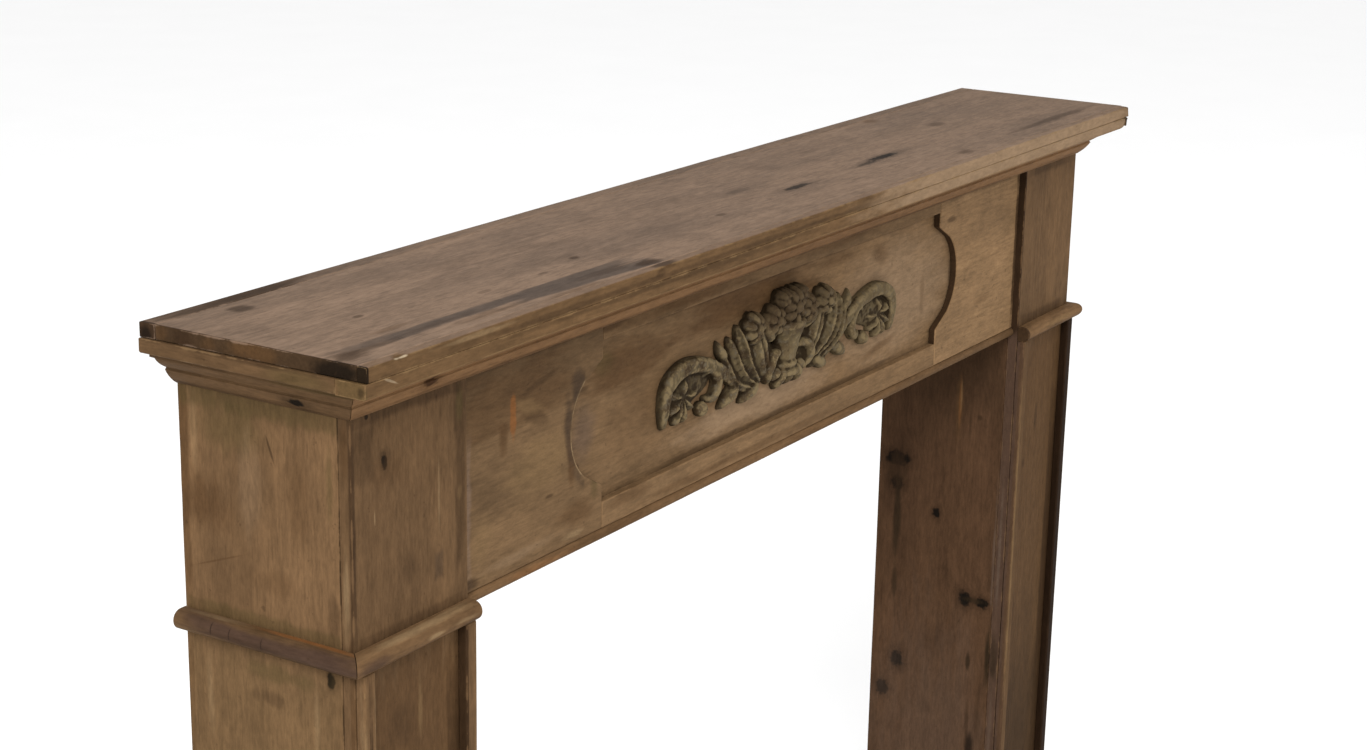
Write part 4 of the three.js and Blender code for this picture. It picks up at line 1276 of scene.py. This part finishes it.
def mark_grime_and_shade(mesh, rounds, reach):
    """Stores where dirt and painted shade lie: 0 on rubbed ridges, 0.5 on even ground, 1 in hollows and low
    walls.
    """
    place = point_rows(mesh, "co")
    normal = point_rows(mesh, "normal")
    count = len(place)
    ends = np.empty(len(mesh.edges) * 2, dtype=np.int64)
    mesh.edges.foreach_get("vertices", ends)
    first, second = ends.reshape(-1, 2).T
    degree = np.maximum(np.bincount(ends, minlength=count), 1)[:, None]
    eased = place.copy()
    for _ in range(rounds):
        total = np.empty_like(eased)
        for k in range(3):
            total[:, k] = np.bincount(first, eased[second, k], count)
            total[:, k] += np.bincount(second, eased[first, k], count)
        eased = 0.4 * eased + 0.6 * total / degree
    hollow = ((eased - place) * normal).sum(axis=1) / reach
    low = np.clip((GRIME_AND_SHADE_HEIGHT - (PANEL_FACE * MM - place[:, 1])) / GRIME_AND_SHADE_FADE, 0.0, 1.0)
    wall = np.clip(1.0 + normal[:, 1] / 0.6, 0.0, 1.0)
    grime = 0.5 + 0.5 * hollow + 0.25 * low + 0.4 * wall * low
    layer = mesh.attributes.new("grime", "FLOAT", "POINT")
    layer.data.foreach_set("value", np.clip(grime, 0.0, 1.0))


# Settings

class MantelSettings(bpy.types.PropertyGroup):
    """Colours and wear of the pine."""

    shelf_tone: bpy.props.FloatVectorProperty(
        name="Shelf top",
        description="Bleached pine of the shelf's top",
        subtype="COLOR",
        default=(0.15, 0.1, 0.068),
    )
    shelf_face_tone: bpy.props.FloatVectorProperty(
        name="Shelf edge",
        description="Pine of the shelf's front edge",
        subtype="COLOR",
        default=(0.099, 0.056, 0.0255),
    )
    face_tone: bpy.props.FloatVectorProperty(
        name="Boards",
        description="Waxed pine of the legs",
        subtype="COLOR",
        default=(0.096, 0.0545, 0.026),
    )
    frieze_tone: bpy.props.FloatVectorProperty(
        name="Frieze",
        description="Pine of the frieze",
        subtype="COLOR",
        default=(0.127, 0.076, 0.0375),
    )
    edge_tone: bpy.props.FloatVectorProperty(
        name="Mouldings",
        description="Pine of the strips and mouldings",
        subtype="COLOR",
        default=(0.092, 0.052, 0.0245),
    )
    dark_tone: bpy.props.FloatVectorProperty(
        name="Inner boards",
        description="Dark stained pine",
        subtype="COLOR",
        default=(0.057, 0.0295, 0.015),
    )
    carved_tone: bpy.props.FloatVectorProperty(
        name="Carving",
        description="Olive patina of the ornament",
        subtype="COLOR",
        default=(0.063, 0.0458, 0.0236),
    )
    bare_tone: bpy.props.FloatVectorProperty(
        name="Bare wood",
        description="Pale wood on rubbed arrises",
        subtype="COLOR",
        default=(0.23, 0.15, 0.07),
    )
    grain_contrast: bpy.props.FloatProperty(
        name="Grain contrast",
        description="Spread between the light and dark grain",
        default=0.22,
        min=0.0,
        max=0.9,
    )
    figure: bpy.props.FloatProperty(
        name="Figure",
        description="Strength of the growth lines",
        default=0.24,
        min=0.0,
        max=1.0,
    )
    mottle: bpy.props.FloatProperty(
        name="Mottling",
        description="Unevenness of the old finish",
        default=0.55,
        min=0.0,
        max=1.0,
    )
    arris_width: bpy.props.FloatProperty(
        name="Arris wear",
        description="Width of rubbed arrises",
        unit="LENGTH",
        default=0.0032,
        min=0.0,
    )
    arris_strength: bpy.props.FloatProperty(
        name="Arris paleness",
        description="How pale rubbed arrises are",
        default=0.5,
        min=0.0,
        max=1.0,
    )
    sway: bpy.props.FloatProperty(
        name="Face sway",
        description="Unevenness of the faces",
        unit="LENGTH",
        default=0.00025,
        min=0.0,
    )
    nick: bpy.props.FloatProperty(
        name="Arris nicks",
        description="Depth of nicks in the arrises",
        unit="LENGTH",
        default=0.0011,
        min=0.0,
    )
    carving_knobs: bpy.props.FloatProperty(
        name="Carving roughness",
        description="Height of the carving's small knobs",
        unit="LENGTH",
        default=0.001,
        min=0.0,
    )
    carving_cell: bpy.props.FloatProperty(
        name="Carving detail",
        description="Cell of the carved skin",
        unit="LENGTH",
        default=0.0012,
        min=0.0005,
    )


def build_boards(context, boards, first):
    """Builds a group of boards in order; each board's number places its grain and nicks."""
    settings = context.scene.mantel
    for number, board in enumerate(boards, first):
        worn_board(board, getattr(settings, board.tone), settings, number)


# Operators

class MANTEL_OT_shelf(bpy.types.Operator):
    """Builds the two-layer shelf"""

    bl_idname = "mantel.shelf"
    bl_label = "Shelf"

    def execute(self, context):
        build_boards(context, SHELF, 1)
        return {"FINISHED"}


class MANTEL_OT_crown(bpy.types.Operator):
    """Builds the crown moulding under the shelf"""

    bl_idname = "mantel.crown"
    bl_label = "Crown moulding"

    def execute(self, context):
        build_boards(context, CROWN, 11)
        return {"FINISHED"}


class MANTEL_OT_legs(bpy.types.Operator):
    """Builds the legs' boards and edge strips"""

    bl_idname = "mantel.legs"
    bl_label = "Legs"

    def execute(self, context):
        build_boards(context, LEGS, 21)
        return {"FINISHED"}


class MANTEL_OT_astragals(bpy.types.Operator):
    """Builds the half-round mouldings round the legs"""

    bl_idname = "mantel.astragals"
    bl_label = "Astragals"

    def execute(self, context):
        build_boards(context, ASTRAGALS, 41)
        return {"FINISHED"}


class MANTEL_OT_plinths(bpy.types.Operator):
    """Builds the plinths at the feet"""

    bl_idname = "mantel.plinths"
    bl_label = "Plinths"

    def execute(self, context):
        build_boards(context, PLINTHS, 51)
        return {"FINISHED"}


class MANTEL_OT_frieze(bpy.types.Operator):
    """Builds the panelled frieze"""

    bl_idname = "mantel.frieze"
    bl_label = "Frieze"

    def execute(self, context):
        build_boards(context, FRIEZE, 61)
        return {"FINISHED"}


class MANTEL_OT_ornament(bpy.types.Operator):
    """Builds the carved vase, flowers and scrolling leaves"""

    bl_idname = "mantel.ornament"
    bl_label = "Carved ornament"

    def execute(self, context):
        settings = context.scene.mantel
        shape = bmesh.new()
        urn(shape)
        flower(shape, 1, -1, 36, 22, 25, 7, 0.26)
        lobe(shape, 1, [(0, -24), (0, -36), (0, -50)], (14, 14), (18, 13), 0.6)
        for sign in (-1, 1):
            carved_side(shape, sign)
        bmesh.ops.recalc_face_normals(shape, faces=shape.faces[:])
        mesh = fused("carving", shape, settings.carving_cell)
        flatten_back(mesh)
        roughen(mesh, settings.carving_knobs)
        mark_grime_and_shade(mesh, GRIME_AND_SHADE_ROUNDS, GRIME_AND_SHADE_REACH)
        mesh.shade_smooth()
        keep_piece("carved_scrollwork", mesh, carved_material(settings), "pine_carved", "carved_ornament")
        return {"FINISHED"}


FLOOR_SIZE = 60.0
FLOOR_DROP = 0.0005
FLOOR_TONES = ((0.94, 0.94, 0.94), (0.97, 0.97, 0.97))
WORLD_LIGHT = 0.95
LIGHTS = [
    # name, place, target, size, power
    ("key", (-4.2, -2.4, 4.4), (0.0, 0.0, 0.8), 2.6, 330.0),
    ("fill", (2.4, -4.6, 3.0), (0.2, 0.0, 0.8), 3.0, 60.0),
]


class MANTEL_OT_stage(bpy.types.Operator):
    """Sets the camera, the soft studio light and the pale floor"""

    bl_idname = "mantel.stage"
    bl_label = "Stage"

    def execute(self, context):
        scene = context.scene
        lens = bpy.data.cameras.new("camera")
        lens.sensor_fit = "HORIZONTAL"
        lens.sensor_width = SENSOR_WIDTH
        lens.lens = FOCAL_PIXELS / IMAGE_WIDTH * SENSOR_WIDTH
        lens.clip_end = 100.0
        camera = bpy.data.objects.new("camera", lens)
        scene.collection.objects.link(camera)
        turn = Matrix((CAMERA_RIGHT, CAMERA_UP, CAMERA_BACK)).transposed()
        camera.matrix_world = Matrix.Translation(CAMERA_PLACE) @ turn.to_4x4()
        scene.camera = camera
        shape = bmesh.new()
        bmesh.ops.create_grid(shape, x_segments=2, y_segments=2, size=FLOOR_SIZE / 2.0)
        mesh = bpy.data.meshes.new("floor")
        shape.to_mesh(mesh)
        shape.free()
        floor = bpy.data.objects.new("floor", mesh)
        scene.collection.objects.link(floor)
        floor.location.z = -FLOOR_DROP
        paint, tree, shader, place = new_material("pale_floor")
        colour = mixed(tree, cloud(tree, place, scale=3.0), rgba(FLOOR_TONES[0]), rgba(FLOOR_TONES[1]))
        tree.links.new(colour, shader.inputs["Base Color"])
        shader.inputs["Roughness"].default_value = 0.9
        mesh.materials.append(paint)
        for name, place, target, size, power in LIGHTS:
            lamp = bpy.data.lights.new(name, "AREA")
            lamp.shape = "DISK"
            lamp.size = size
            lamp.energy = power
            light = bpy.data.objects.new(name, lamp)
            scene.collection.objects.link(light)
            light.location = place
            light.rotation_euler = (Vector(target) - Vector(place)).to_track_quat("-Z", "Y").to_euler()
        world = bpy.data.worlds.new("studio")
        world.use_nodes = True
        backdrop = world.node_tree.nodes["Background"]
        backdrop.inputs["Color"].default_value = (1.0, 1.0, 1.0, 1.0)
        backdrop.inputs["Strength"].default_value = WORLD_LIGHT
        scene.world = world
        scene.view_settings.view_transform = "Standard"
        return {"FINISHED"}


class MANTEL_PT_sidebar(bpy.types.Panel):
    """Lists the mantel's parts"""

    bl_idname = "MANTEL_PT_sidebar"
    bl_label = "Mantel"
    bl_space_type = "VIEW_3D"
    bl_region_type = "UI"
    bl_category = "Mantel"

    def draw(self, context):
        for operator in OPERATORS:
            self.layout.operator(operator.bl_idname)
        for name in MantelSettings.__annotations__:
            self.layout.prop(context.scene.mantel, name)


OPERATORS = (
    MANTEL_OT_stage,
    MANTEL_OT_shelf,
    MANTEL_OT_crown,
    MANTEL_OT_legs,
    MANTEL_OT_astragals,
    MANTEL_OT_plinths,
    MANTEL_OT_frieze,
    MANTEL_OT_ornament,
)
CLASSES = (MantelSettings, *OPERATORS, MANTEL_PT_sidebar)


def register():
    """Registers the classes and the scene's settings."""
    for made in CLASSES:
        bpy.utils.register_class(made)
    bpy.types.Scene.mantel = bpy.props.PointerProperty(type=MantelSettings)


def unregister():
    """Takes the settings and classes away again."""
    del bpy.types.Scene.mantel
    for made in reversed(CLASSES):
        bpy.utils.unregister_class(made)


def main():
    """Builds the whole mantel."""
    register()
    bpy.ops.mantel.stage()
    bpy.ops.mantel.shelf()
    bpy.ops.mantel.crown()
    bpy.ops.mantel.legs()
    bpy.ops.mantel.astragals()
    bpy.ops.mantel.plinths()
    bpy.ops.mantel.frieze()
    bpy.ops.mantel.ornament()


if __name__ == "__main__":
    main()
